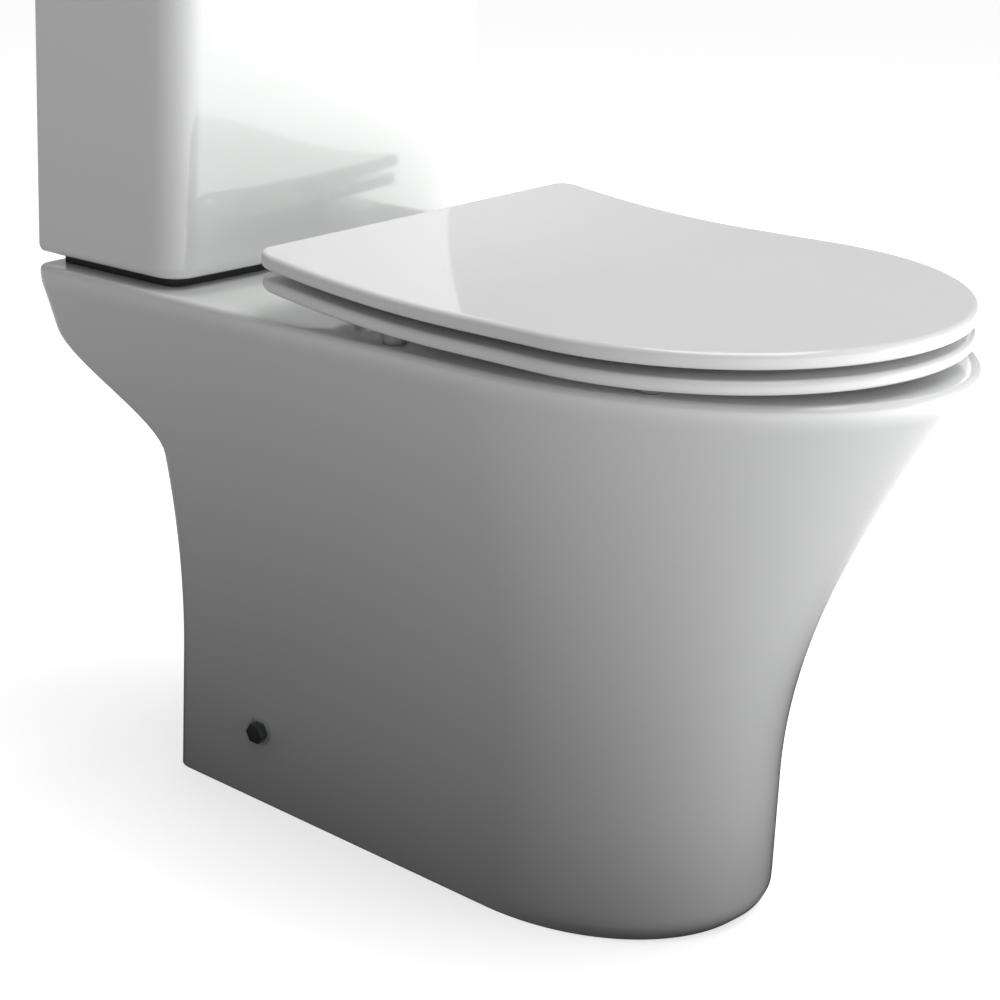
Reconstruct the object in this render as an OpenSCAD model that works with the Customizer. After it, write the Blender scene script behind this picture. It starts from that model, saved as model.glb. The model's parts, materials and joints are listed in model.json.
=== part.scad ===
// Close coupled toilet: pan, cistern, seat, flush valve, fill valve and fixings.
// Millimetres. +Z up, the front of the bowl faces -Y, origin at the middle of the footprint, on the floor.
// Inside the modules y = 0 is the wall plane and -y is the distance in front of the wall;
// on_floor() then moves each piece so that the whole object is centred.

/* [Overall] */
// Distance from the wall to the front of the rim
overall_d = 638; // [560:1:720]
// Height of the rim above the floor
rim_h = 405; // [380:1:460]
// Width of the pan at the rim
pan_w = 368; // [330:1:400]

/* [Pan] */
// Width of the pedestal at the floor
pedestal_w = 232; // [200:1:250]
// How far the rim overhangs the front of the pedestal
front_overhang = 107; // [60:1:140]
// Distance from the wall to the back of the pedestal
pedestal_back = 91; // [70:1:110]
// Length of the rounded front of the rim
rim_nose = 240; // [180:1:260]
// Length of the rounded front of the pedestal
pedestal_nose = 129; // [100:1:150]
// Radius of the upright corners at the back
pan_corner_r = 14; // [10:1:20]
// Height at which the pedestal starts to flare
flare_start = 94; // [60:1:140]
// How late the flare opens out
flare_power = 1.9; // [1.5:0.1:2.4]
// Height of the underside of the cistern platform where it leaves the pedestal
platform_low = 265; // [240:1:275]
// Depth of the platform at the wall, under the cistern
platform_drop = 52; // [40:1:70]
// Thickness of the ceramic in the pan
pan_wall = 12; // [9:0.5:14]
// Radius of the pan's top edge
rim_edge_r = 4.5; // [3:0.5:6]
// Height of the upright band below the rim
rim_band = 11; // [8:0.5:14]
// Width of the bowl's opening
bowl_w = 260; // [230:1:270]
// Length of the bowl's opening
bowl_l = 296; // [270:1:310]
// Width of the rim in front of the bowl
rim_front_w = 46; // [44:1:60]
// Depth of the bowl below the rim
bowl_depth = 245; // [220:1:260]
// How far the bottom of the bowl lies behind the middle of its opening
bowl_lean = 40; // [25:1:55]

/* [Trap and flushing duct] */
// Radius of the trapway
trap_r = 27; // [25:0.5:29]
// Thickness of the trapway's wall
trap_wall = 8; // [6:0.5:10]
// Height of the middle of the trapway at the weir
weir_h = 232; // [225:1:240]
// Outer radius of the outlet spigot
outlet_r = 51; // [48:0.5:55]
// Height of the outlet's centre
outlet_h = 185; // [180:1:190]
// Distance from the wall to the end of the outlet
outlet_end = 40; // [30:1:55]
// Width of the duct from the cistern to the bowl
duct_w = 60; // [44:1:66]
// Height of that duct
duct_h = 20; // [16:1:24]
// Thickness of the duct's wall
duct_wall = 10; // [8:0.5:12]
// Depth of the well that takes the flush valve's nut
well_depth = 20; // [18:0.5:22]
// Radius of that well
well_r = 46; // [44:0.5:50]

/* [Cistern] */
// Width of the cistern at its foot
cistern_w = 354; // [320:1:370]
// Depth of the cistern at its foot
cistern_d = 152; // [130:1:160]
// Height of the cistern's body
cistern_h = 345; // [320:1:400]
// Gap between the pan and the cistern
cistern_gap = 7; // [6:0.5:10]
// How much each side leans out over the cistern's height
side_lean = 4; // [0:1:16]
// How much the front leans out over the cistern's height
front_lean = 7; // [0:1:12]
// How far the middle of the front stands out from its ends
front_bow = 8; // [2:1:24]
// Radius of the cistern's upright front corners
cistern_corner_r = 26; // [18:1:32]
// Radius of the cistern's bottom edge
cistern_foot_r = 9; // [8:1:14]
// Thickness of the cistern's walls
cistern_wall = 9; // [7:0.5:11]
// Thickness of the cistern's floor
cistern_floor = 10; // [9:0.5:13]
// Height of the cistern's lid
tank_lid_h = 27; // [22:1:34]
// Thickness of the cistern's lid
tank_lid_t = 10; // [8:0.5:12]
// How far the cistern's lid stands out past the body
tank_lid_over = 4; // [2:0.5:7]
// Clearance between the lid's locating rib and the body
rib_clear = 2; // [1:0.25:3]
// Distance between the two wall fixing holes
wall_hole_gap = 220; // [160:1:260]
// Radius of the wall fixing holes
wall_hole_r = 4; // [3:0.25:5]

/* [Seat and lid] */
// Width of the seat and of its lid
seat_w = 370; // [330:1:390]
// Distance from the wall to the back edge of the seat
seat_back = 226; // [205:1:240]
// Length of the rounded front of the seat and of its lid
seat_nose = 169; // [140:1:190]
// How far the seat stops short of the front of the rim
seat_setback = 11; // [2:0.5:16]
// Thickness of the seat ring
seat_t = 9; // [8:0.5:11]
// Thickness of the seat's lid
lid_t = 10.5; // [10:0.5:13]
// Gap between the rim and the seat
seat_gap = 8; // [7:0.5:13]
// Gap between the seat and its lid
lid_gap = 6.5; // [6:0.5:9]
// How far the seat and lid sweep up at the back
seat_rise = 14; // [13:0.5:18]
// Length over which they sweep up
rise_len = 170; // [110:1:190]
// How far the ring's back edge stops short of the lid's
ring_step = 2; // [1.5:0.25:3]
// Radius of the back corners of the seat and lid
seat_corner_r = 16; // [10:1:24]
// Width of the ring on each side of its opening
ring_side = 72; // [60:1:80]
// Width of the ring in front of its opening
ring_front = 62; // [50:1:75]
// Length of the opening in the ring
ring_hole_l = 262; // [235:1:270]

/* [Hinges] */
// Distance between the two hinges
hinge_gap = 155; // [140:1:170]
// Distance from the seat's back edge to the hinge axis
hinge_in = 4; // [3:0.5:5]
// Radius of the hinge barrels
barrel_r = 10; // [9.5:0.25:10.5]
// Width of each part of a hinge
knuckle_w = 13; // [11:0.5:16]
// Width of the hinge post's head
post_w = 18; // [16:0.5:20]
// Gap between the parts of a hinge
hinge_play = 0.5; // [0.3:0.1:1]
// Radius of the hinge pins
hinge_pin_r = 3; // [2.5:0.25:3.5]
// Radius of the soft close dampers
damper_r = 7; // [6:0.25:7.5]
// Radial clearance of a turning fit
run_clear = 0.05; // [0.02:0.01:0.08]
// Radius of the foot of a hinge post
post_foot_r = 17; // [14:0.5:19]

/* [Valves] */
// Outer radius of the flush valve's threaded tail
valve_tail_r = 29.8; // [28:0.1:31]
// Radius of the flush valve's base flange
valve_flange_r = 40; // [38:0.5:42]
// Height of the flush valve above its flange
valve_h = 264; // [240:1:280]
// Outer radius of the overflow tube
overflow_r = 15; // [12:0.5:16]
// Distance from the middle of the cistern to the fill valve
fill_x = 110; // [100:1:125]
// Radius of the fill valve's half inch threaded tail
fill_tail_r = 10.48; // [10:0.01:11]
// Radius of the fill valve's column
fill_r = 13; // [12:0.5:14]
// Height of the fill valve's column
fill_h = 262; // [240:1:275]
// Radius of the float
float_r = 28; // [24:0.5:30]
// Height of the float
float_h = 55; // [40:1:70]
// Travel of the float
float_travel = 10; // [6:1:12]

/* [Flush buttons] */
// Radius of the hole for the button housing
button_hole_r = 22; // [20:0.5:24]
// Radius of the housing's visible rim
bezel_r = 27; // [25:0.5:30]
// Radius of the pair of buttons
button_r = 19; // [17:0.5:20]
// Travel of a button
button_travel = 5; // [4:0.5:7]
// Slot between the two buttons
button_split = 1.2; // [0.8:0.1:2]

/* [Fixings] */
// Distance from the wall to the floor brackets
bracket_back = 181; // [130:1:200]
// Height of the side fixing screws
side_screw_h = 58; // [45:1:65]
// Radius of the side fixing screws
side_screw_r = 3; // [2.5:0.25:3.5]
// Distance between the floor screws of the two brackets
floor_hole_gap = 140; // [110:1:150]
// Radius of the floor screw holes
floor_hole_r = 4; // [3:0.25:5]
// Radius, across the corners, of the caps on the side screws
cap_r = 8.6; // [7.5:0.1:9.5]
// How far those caps stand out
cap_h = 7.5; // [5:0.5:9]
// Distance between the two bolts that hold the cistern
coupling_gap = 150; // [140:1:160]
// Radius of the M8 bolts
bolt_r = 3.9; // [3.8:0.05:4]
// Radial clearance of the bolts in the ceramic
bolt_clear = 3; // [2:0.5:4]
// Thickness of the rubber washers
washer_t = 3; // [2:0.5:4]

/* [Hidden] */
$fn = 48;
eps = 0.01;
slice = 0.5;
over = 2;

ceramic = "#f4f5f4";
plastic = "#f2f3f2";
chrome = "#c9cdd0";
rubber = "#2c2e30";
brass = "#b99a54";
steel = "#9aa0a4";
valve_grey = "#d5d8da";
valve_blue = "#7fa6c9";

// ---- the pan's sections ----
function flare(z) = pow(min(1, max(0, (z - flare_start) / (rim_h - rim_band - flare_start))), flare_power);
function ease(t) = let (u = min(1, max(0, t))) u * u * (3 - 2 * u);
function half_w(z) = pedestal_w / 2 + (pan_w - pedestal_w) / 2 * flare(z);
// the front leans in a little over the last few centimetres above the floor
toe_in = 9;
toe_h = 14;
function front_d(z) = overall_d - front_overhang * (1 - flare(z)) - toe_in * pow(max(0, 1 - z / toe_h), 2);
function nose_l(z) = pedestal_nose + (rim_nose - pedestal_nose) * flare(z);
function back_d(z) = pedestal_back
  * (1 - ease((z - platform_low) / (rim_h - platform_drop - platform_low)));

// A ring of points: straight back, rounded back corners, straight sides, elliptical front.
nose_n = 24;
side_n = 5;
corner_n = 3;
function corner_pts(cx, cy, r, from) =
  [for (i = [0 : corner_n]) let (a = from + 90 * i / corner_n) [cx + r * cos(a), cy + r * sin(a)]];
function d_outline(w, back, front, nose, r) = concat(
  [for (i = [0 : nose_n]) let (a = -180 + 180 * i / nose_n)
    [w * cos(a), -(front - nose) + nose * sin(a)]],
  [for (i = [1 : side_n - 1]) [w, -(front - nose) + (front - nose - back - r) * i / side_n]],
  corner_pts(w - r, -back - r, r, 0),
  corner_pts(-w + r, -back - r, r, 90),
  [for (i = [1 : side_n - 1]) [-w, -back - r - (front - nose - back - r) * i / side_n]]);
function pan_outline(z, inset) = d_outline(half_w(z) - inset, back_d(z) + inset,
  front_d(z) - inset, nose_l(z) - inset, max(pan_corner_r - inset, 2));
function lift(pts, z) = [for (p = pts) [p[0], p[1], z]];

// The bowl: ellipses that shrink and move back towards the sump.
bowl_mid = overall_d - rim_front_w - bowl_l / 2;
function bowl_size(u) = pow(1 - pow(u, 1.6), 0.9);
function bowl_ring(u, grow) = let (
    rx = bowl_w / 2 * bowl_size(u) + grow,
    ry = bowl_l / 2 * bowl_size(u) + grow,
    mid = bowl_mid - bowl_lean * u * u)
  [for (p = pan_outline(rim_h, 0)) let (a = atan2((p[1] + bowl_mid) / bowl_l, p[0] / bowl_w))
    [rx * cos(a), -mid + ry * sin(a)]];
function bowl_z(u) = rim_h - bowl_depth * u;

// Heights at which the pan's skins have a ring.
skin_n = 15;
function skin_z(i) = i < skin_n ? (rim_h - rim_band) * i / (skin_n - 1) : rim_h - rim_edge_r;
inner_top = rim_h - pan_wall;
function inner_z(i) = inner_top * (1 - i / skin_n);
bowl_steps = [0.04, 0.1, 0.2, 0.32, 0.44, 0.56, 0.68, 0.79, 0.88, 0.95];

pan_rings = concat(
  // the underside of the bowl, from the sump up
  [for (i = [len(bowl_steps) - 1 : -1 : 1])
    lift(bowl_ring(bowl_steps[i], pan_wall), bowl_z(bowl_steps[i]) - pan_wall * bowl_steps[i])],
  [lift(bowl_ring(0, pan_wall), inner_top)],
  // the inside of the skirt, down to the floor
  [for (i = [0 : skin_n]) lift(pan_outline(inner_z(i), pan_wall), inner_z(i))],
  // the outside, up to the rim
  [for (i = [0 : skin_n]) lift(pan_outline(skin_z(i), 0), skin_z(i))],
  // the rounded top edge
  [for (a = [30, 60, 90]) let (s = rim_edge_r * (1 - cos(a)))
    lift(pan_outline(rim_h, s), rim_h - rim_edge_r * (1 - sin(a)))],
  // over the rim and down into the bowl
  [lift(bowl_ring(0, 4), rim_h)],
  [for (u = bowl_steps) lift(bowl_ring(u, 0), bowl_z(u))]);

// the room inside the bowl, which the trapway's shell keeps out of
bowl_rings = concat(
  [for (i = [len(bowl_steps) - 1 : -1 : 0]) let (u = bowl_steps[i])
    lift(bowl_ring(u, pan_wall / 2), bowl_z(u) - pan_wall / 2 * u)],
  [lift(bowl_ring(0, pan_wall / 2), rim_h)]);

// Closes a stack of equal rings into one solid, with a point at each end.
module ring_stack(rings, low_tip, high_tip) {
  n = len(rings[0]);
  m = len(rings);
  pts = concat([for (r = rings, p = r) p], [low_tip, high_tip]);
  sides = [for (j = [0 : m - 2], i = [0 : n - 1]) let (
      a = j * n + i, b = j * n + (i + 1) % n, c = b + n, d = a + n)
    each [[a, d, c], [a, c, b]]];
  low = [for (i = [0 : n - 1]) [m * n, i, (i + 1) % n]];
  high = [for (i = [0 : n - 1]) [m * n + 1, (m - 1) * n + (i + 1) % n, (m - 1) * n + i]];
  polyhedron(points = pts, faces = concat(sides, low, high), convexity = 12);
}

// ---- heights and places that several pieces share ----
cistern_z = rim_h + cistern_gap;
cistern_top = cistern_z + cistern_h;
tank_floor = cistern_z + cistern_floor;
valve_y = -cistern_d / 2 + 2;
hinge_y = -seat_back - hinge_in;
post_in = 7;
seat_bottom = rim_h + seat_gap;
lid_bottom = seat_bottom + seat_t + lid_gap;
hinge_z = seat_bottom + seat_t + lid_gap / 2 + rise_at(hinge_in);
function rise_at(d) = seat_rise * pow(1 - min(1, max(0, d / rise_len)), 2);

module on_floor() { translate([0, overall_d / 2, 0]) children(); }
module both_sides() {
  children();
  mirror([1, 0, 0]) children();
}
module ring(r_out, r_in, h) {
  difference() {
    cylinder(r = r_out, h = h);
    translate([0, 0, -over]) cylinder(r = r_in, h = h + 2 * over);
  }
}
module along_x(x0, x1, r) { translate([x0, 0, 0]) rotate([0, 90, 0]) cylinder(r = r, h = x1 - x0); }
module wing_nut(h) {
  wing_l = 34;
  wing_t = 3;
  difference() {
    union() {
      cylinder(r = 9, h = h);
      translate([-wing_l / 2, -wing_t / 2, 0]) cube([wing_l, wing_t, h - 3]);
    }
    translate([0, 0, -over]) cylinder(r = bolt_r + run_clear, h = h + 2 * over);
  }
}

// ---- pan ----
trap_in = [bowl_mid - bowl_lean - 2, rim_h - bowl_depth + 22];
trap_top = [bowl_mid - 142, weir_h];
trap_down = [bowl_mid - 218, outlet_h + 3];
// the spigot's last stretch is a little larger, so that the connector seals on it
spigot_l = 30;
spigot_step = 1;
// a tube between two [distance from the wall, height] points
module tube_between(p, q, r) {
  dy = p[0] - q[0];
  dz = q[1] - p[1];
  translate([0, -p[0], p[1]]) rotate([-atan2(dy, dz), 0, 0]) cylinder(r = r, h = norm([dy, dz]));
}
module trapway(r, outlet) {
  tube_between(trap_in, trap_top, r);
  translate([0, -trap_top[0], trap_top[1]]) sphere(r = r + 0.6);
  tube_between(trap_top, trap_down, r);
  translate([0, -trap_down[0], outlet_h]) sphere(r = outlet + 0.6);
  translate([0, -trap_down[0], outlet_h]) rotate([-90, 0, 0]) {
    cylinder(r = outlet - spigot_step, h = trap_down[0] - outlet_end);
    translate([0, 0, trap_down[0] - outlet_end - spigot_l]) cylinder(r = outlet, h = spigot_l);
  }
}
duct_top = rim_h - well_depth - 7;
duct_low = duct_top - duct_h;
duct_end = bowl_mid - bowl_l / 2 - 4;
duct_slope = 10;
module duct_outside() {
  half = duct_w / 2 + duct_wall;
  translate([-half, 0, 0]) rotate([90, 0, 90]) linear_extrude(height = 2 * half)
    polygon([[valve_y, duct_low - duct_wall], [-duct_end - duct_slope, duct_low - duct_wall],
      [-duct_end, rim_h - 8], [valve_y, rim_h - 8]]);
  translate([0, valve_y, duct_low - duct_wall])
    cylinder(r = well_r + duct_wall, h = rim_h - 8 - duct_low + duct_wall);
}
module duct_inside() {
  reach = duct_end + 30 + valve_y;
  translate([-duct_w / 2, valve_y - reach, duct_low]) cube([duct_w, reach, duct_h]);
  translate([0, valve_y, duct_low]) cylinder(r = duct_w / 2 - 2, h = rim_h);
  translate([0, valve_y, rim_h - well_depth]) cylinder(r = well_r, h = rim_h);
}
fill_hole_r = 20;
supply_hole_r = 22;
dimple_r = 11;
module pan_holes() {
  both_sides() {
    translate([hinge_gap / 2, hinge_y - post_in, rim_h - pan_wall - over])
      cylinder(r = bolt_r + bolt_clear, h = pan_wall + 2 * over);
    translate([coupling_gap / 2, valve_y, rim_h - pan_wall - over])
      cylinder(r = bolt_r + bolt_clear, h = pan_wall + 2 * over);
    // room under the platform for the supply pipe, on either side
    translate([fill_x, valve_y, platform_low - 60])
      cylinder(r = supply_hole_r, h = rim_h - pan_wall - 5 - platform_low + 60);
    translate([0, -bracket_back, side_screw_h]) {
      along_x(pedestal_w / 2 - pan_wall - over, pedestal_w / 2 + over, sleeve_r + run_clear);
      along_x(pedestal_w / 2 - 1, pedestal_w / 2 + over, dimple_r);
    }
  }
  translate([fill_x, valve_y, rim_h - pan_wall - over])
    cylinder(r = fill_hole_r, h = pan_wall + 2 * over);
}
back_hole_w = 75;
module pan() {
  on_floor() color(ceramic) difference() {
    union() {
      difference() {
        ring_stack(pan_rings,
          [0, -bowl_mid + bowl_lean, rim_h - bowl_depth - pan_wall],
          [0, -bowl_mid + bowl_lean, rim_h - bowl_depth]);
        translate([-back_hole_w, -pedestal_back - pan_wall - 8, -over])
          cube([2 * back_hole_w, pan_wall + 12, platform_low + over]);
      }
      difference() {
        trapway(trap_r + trap_wall, outlet_r);
        ring_stack(bowl_rings, [0, -bowl_mid + bowl_lean, rim_h - bowl_depth - pan_wall / 2],
          [0, -bowl_mid, rim_h]);
      }
      duct_outside();
    }
    trapway(trap_r, outlet_r - trap_wall);
    duct_inside();
    pan_holes();
  }
}

// ---- cistern ----
bow_n = 12;
// Outline of the cistern at a share of its height, moved in by an inset; the back has its own.
function tank_outline(t, inset, back) = let (
    w = cistern_w / 2 + side_lean * t - inset,
    d = cistern_d + front_lean * t - inset,
    r = max(cistern_corner_r - inset, 3),
    s = front_bow / pow(cistern_w / 2, 2),
    flat = w - r)
  concat(
    [[w, -back], [-w, -back]],
    [for (i = [0 : 8]) let (a = 180 + 90 * i / 8)
      [-w + r + r * cos(a), -d + s * flat * flat + r + r * sin(a)]],
    [for (i = [1 : bow_n - 1]) let (x = -flat + 2 * flat * i / bow_n) [x, -d + s * x * x]],
    [for (i = [0 : 8]) let (a = 270 + 90 * i / 8)
      [w - r + r * cos(a), -d + s * flat * flat + r + r * sin(a)]]);
module tank_slice(t, inset, back) {
  linear_extrude(height = slice) polygon(tank_outline(t, inset, back));
}
// The bottom edge is rounded along the front and the sides; the back stays flat on the wall.
module tank_body() {
  hull() {
    for (a = [0, 30, 60, 90])
      translate([0, 0, cistern_z + cistern_foot_r * (1 - cos(a))])
        tank_slice(0, cistern_foot_r * (1 - sin(a)), 0);
    translate([0, 0, cistern_top - slice]) tank_slice(1, 0, 0);
  }
}
module cistern_body() {
  on_floor() color(ceramic) difference() {
    tank_body();
    hull() {
      translate([0, 0, tank_floor]) tank_slice(0, cistern_wall + 3, cistern_wall + 3);
      translate([0, 0, tank_floor + 12]) tank_slice(0, cistern_wall, cistern_wall);
      translate([0, 0, cistern_top + over]) tank_slice(1, cistern_wall, cistern_wall);
    }
    translate([0, valve_y, cistern_z - over])
      cylinder(r = valve_tail_r + 1.2, h = cistern_floor + 2 * over);
    translate([fill_x, valve_y, cistern_z - over])
      cylinder(r = fill_shank_r + 1, h = cistern_floor + 2 * over);
    both_sides() {
      translate([coupling_gap / 2, valve_y, cistern_z - over]) cylinder(r = 10, h = over + 6);
      translate([wall_hole_gap / 2, over, cistern_top - wall_hole_drop]) rotate([90, 0, 0])
        cylinder(r = wall_hole_r, h = cistern_wall + 2 * over);
    }
  }
}
wall_hole_drop = 62;
lid_edge_r = 6;
rib_h = 9;
rib_t = 6;
module cistern_lid() {
  on_floor() color(ceramic) difference() {
    union() {
      hull() {
        translate([0, 0, cistern_top]) lid_slice(0);
        translate([0, 0, cistern_top + tank_lid_h - lid_edge_r]) lid_slice(0);
        translate([0, 0, cistern_top + tank_lid_h - 0.3 * lid_edge_r]) lid_slice(0.3 * lid_edge_r);
        translate([0, 0, cistern_top + tank_lid_h - slice]) lid_slice(lid_edge_r);
      }
      translate([0, 0, cistern_top - rib_h]) linear_extrude(height = rib_h + slice)
        rib_outline(cistern_wall + rib_clear);
    }
    translate([0, 0, cistern_top - rib_h - over])
      linear_extrude(height = rib_h + over + tank_lid_h - tank_lid_t)
      rib_outline(cistern_wall + rib_clear + rib_t);
    translate([0, valve_y, cistern_top]) cylinder(r = button_hole_r, h = tank_lid_h + over);
  }
}
module lid_slice(inset) { tank_slice(1, inset - tank_lid_over, inset / 2); }
module rib_outline(inset) { polygon(tank_outline(1 - rib_h / cistern_h, inset, inset)); }
gasket_inset = 14;
gasket_w = 16;
module cistern_gasket() {
  on_floor() color(rubber) translate([0, 0, rim_h]) linear_extrude(height = cistern_gap)
    difference() {
      polygon(tank_outline(0, gasket_inset, gasket_inset));
      polygon(tank_outline(0, gasket_inset + gasket_w, gasket_inset + gasket_w));
      translate([0, valve_y]) circle(r = well_r);
    }
}

// ---- seat and lid ----
seat_front = overall_d - seat_setback;
ring_hole_mid = seat_front - ring_front - ring_hole_l / 2;
strip_n = 14;
// A slab that follows the sweep of the seat: its lower face starts at z and it is t thick.
module swept_slab(z, t) {
  ds = concat([0], [for (i = [1 : strip_n]) rise_len * i / strip_n], [overall_d]);
  rotate([90, 0, 90]) translate([0, 0, -overall_d / 2]) linear_extrude(height = overall_d)
    polygon(concat(
      [for (d = ds) [-seat_back - d, z + rise_at(d)]],
      [for (i = [len(ds) - 1 : -1 : 0]) [-seat_back - ds[i], z + t + rise_at(ds[i])]]));
}
module seat_shape(step) {
  polygon(d_outline(seat_w / 2, seat_back + step, seat_front, seat_nose, seat_corner_r));
}
bumper_r = 8;
bumper_stem_r = 5;
bumper_places = [[167, 337], [143, 512]];
lid_bumper_places = [[146, 330], [110, 512]];
module seat_ring() {
  inner_x = hinge_gap / 2 - post_w / 2 - hinge_play - knuckle_w - 2;
  outer_x = hinge_gap / 2 + post_w / 2 + hinge_play;
  notch_d = hinge_in + barrel_r + 9;
  on_floor() color(plastic) difference() {
    union() {
      intersection() {
        swept_slab(seat_bottom, seat_t);
        linear_extrude(height = 2 * rim_h) difference() {
          seat_shape(ring_step);
          translate([0, -ring_hole_mid]) polygon([for (i = [0 : 39]) let (a = 9 * i)
            [(seat_w / 2 - ring_side) * cos(a), ring_hole_l / 2 * sin(a)]]);
        }
      }
      both_sides() translate([0, hinge_y, hinge_z]) along_x(outer_x, outer_x + knuckle_w, barrel_r);
    }
    both_sides() {
      // room for the hinge post and for the lid's knuckle
      translate([inner_x, -seat_back - notch_d, rim_h])
        cube([outer_x - inner_x, notch_d + over, 3 * lid_t + seat_rise + seat_gap]);
      translate([0, hinge_y, hinge_z]) {
        along_x(outer_x - over, outer_x + knuckle_w - 2, hinge_pin_r + run_clear);
        along_x(outer_x + 2, outer_x + knuckle_w - 2, damper_r);
      }
    }
    for (p = bumper_places) both_sides()
      translate([p[0], -p[1], seat_bottom - over]) cylinder(r = bumper_stem_r, h = over + 4);
  }
}
module seat_lid() {
  inner_x = hinge_gap / 2 - post_w / 2 - hinge_play - knuckle_w;
  on_floor() color(plastic) difference() {
    union() {
      intersection() {
        swept_slab(lid_bottom, lid_t);
        linear_extrude(height = 2 * rim_h) seat_shape(0);
      }
      both_sides() translate([0, hinge_y, hinge_z]) along_x(inner_x, inner_x + knuckle_w, barrel_r);
    }
    both_sides() translate([0, hinge_y, hinge_z]) {
      // groove over the hinge post and the seat's knuckle
      along_x(inner_x + knuckle_w, hinge_gap / 2 + post_w / 2 + knuckle_w + 3 * hinge_play,
        barrel_r + hinge_play);
      along_x(inner_x + 2, inner_x + knuckle_w + over, hinge_pin_r + run_clear);
      along_x(inner_x + 2, inner_x + knuckle_w - 2, damper_r);
    }
    for (p = lid_bumper_places) both_sides()
      translate([p[0], -p[1], lid_bottom - over]) cylinder(r = bumper_stem_r, h = over + 4);
  }
}
// A buffer that stands touch_gap clear of what it lands on, with a stem in its blind hole.
touch_gap = 0.2;
module buffers(places, foot, top) {
  for (p = places) both_sides() translate([p[0], -p[1], 0]) {
    translate([0, 0, foot + touch_gap]) cylinder(r = bumper_r, h = top - foot - touch_gap);
    translate([0, 0, foot + 1]) cylinder(r = bumper_stem_r - run_clear, h = top + 3.5 - foot - 1);
  }
}
module seat_bumpers() { on_floor() color(rubber) buffers(bumper_places, rim_h, seat_bottom); }
module lid_bumpers() {
  on_floor() color(rubber) buffers(lid_bumper_places, lid_foot, lid_bottom);
}
// the sweep lifts the seat a little where the rear buffers of the lid land
lid_foot = seat_bottom + seat_t + rise_at(lid_bumper_places[0][1] - bumper_r - seat_back);

// ---- hinges ----
module hinge_posts() {
  on_floor() color(chrome) both_sides() difference() {
    union() {
      translate([hinge_gap / 2, hinge_y - post_in, rim_h]) cylinder(r = post_foot_r, h = 4);
      translate([hinge_gap / 2 - post_w / 2, hinge_y - 13, rim_h + 2])
        cube([post_w, 12, hinge_z - rim_h - 2]);
      translate([0, hinge_y, hinge_z])
        along_x(hinge_gap / 2 - post_w / 2, hinge_gap / 2 + post_w / 2, barrel_r);
    }
    translate([0, hinge_y, hinge_z]) along_x(hinge_gap / 2 - post_w, hinge_gap / 2 + post_w, hinge_pin_r);
    translate([hinge_gap / 2, hinge_y - post_in, rim_h - over]) cylinder(r = bolt_r, h = over + 14);
  }
}
module hinge_pins() {
  reach = post_w / 2 + knuckle_w - 3;
  on_floor() color(steel) both_sides() translate([0, hinge_y, hinge_z])
    along_x(hinge_gap / 2 - reach, hinge_gap / 2 + reach, hinge_pin_r);
}
module damper(x0, x1) {
  difference() {
    along_x(x0, x1, damper_r);
    along_x(x0 - over, x1 + over, hinge_pin_r + run_clear);
  }
}
module seat_dampers() {
  outer_x = hinge_gap / 2 + post_w / 2 + hinge_play;
  on_floor() color(valve_grey) both_sides() translate([0, hinge_y, hinge_z])
    damper(outer_x + 2, outer_x + knuckle_w - 2);
}
module lid_dampers() {
  inner_x = hinge_gap / 2 - post_w / 2 - hinge_play - knuckle_w;
  on_floor() color(valve_grey) both_sides() translate([0, hinge_y, hinge_z])
    damper(inner_x + 2, inner_x + knuckle_w - 2);
}
nut_h = 12;
module seat_bolts() {
  on_floor() color(steel) both_sides()
    translate([hinge_gap / 2, hinge_y - post_in, rim_h - 45]) cylinder(r = bolt_r, h = 45 + 14);
}
module seat_washers() {
  on_floor() color(rubber) both_sides()
    translate([hinge_gap / 2, hinge_y - post_in, rim_h - pan_wall - washer_t])
      ring(14, bolt_r + run_clear, washer_t);
}
module seat_wing_nuts() {
  on_floor() color(plastic) both_sides()
    translate([hinge_gap / 2, hinge_y - post_in, rim_h - pan_wall - washer_t - nut_h]) wing_nut(nut_h);
}

// ---- floor fixings ----
bracket_w = 36;
bracket_t = 3;
sleeve_r = 4.9;
bracket_x = pedestal_w / 2 - pan_wall - 3;
module floor_brackets() {
  boss_l = 10;
  on_floor() color(steel) both_sides() translate([0, -bracket_back, 0]) difference() {
    union() {
      translate([bracket_x - bracket_t, -bracket_w / 2, 0])
        cube([bracket_t, bracket_w, side_screw_h + 18]);
      translate([floor_hole_gap / 2 - 14, -bracket_w / 2, 0])
        cube([bracket_x - floor_hole_gap / 2 + 14, bracket_w, bracket_t]);
      translate([0, 0, side_screw_h])
        along_x(bracket_x - bracket_t - boss_l, bracket_x - bracket_t + 1, 8);
    }
    translate([0, 0, side_screw_h])
      along_x(bracket_x - bracket_t - boss_l - over, bracket_x + over, side_screw_r + run_clear);
    translate([floor_hole_gap / 2, 0, -over]) cylinder(r = floor_hole_r, h = bracket_t + 2 * over);
  }
}
module side_screws() {
  head_r = 5.5;
  on_floor() color(steel) both_sides() translate([0, -bracket_back, side_screw_h]) {
    along_x(bracket_x - bracket_t - 9, pedestal_w / 2 + 1, side_screw_r);
    along_x(pedestal_w / 2 + 0.5, pedestal_w / 2 + 4, head_r);
  }
}
module side_screw_sleeves() {
  on_floor() color(valve_grey) both_sides() translate([0, -bracket_back, side_screw_h])
    difference() {
      union() {
        along_x(pedestal_w / 2 - pan_wall, pedestal_w / 2 - 1, sleeve_r);
        along_x(pedestal_w / 2 - 1, pedestal_w / 2 + 0.5, dimple_r - 1.5);
      }
      along_x(pedestal_w / 2 - pan_wall - over, pedestal_w / 2 + over, side_screw_r + run_clear);
    }
}
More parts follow.
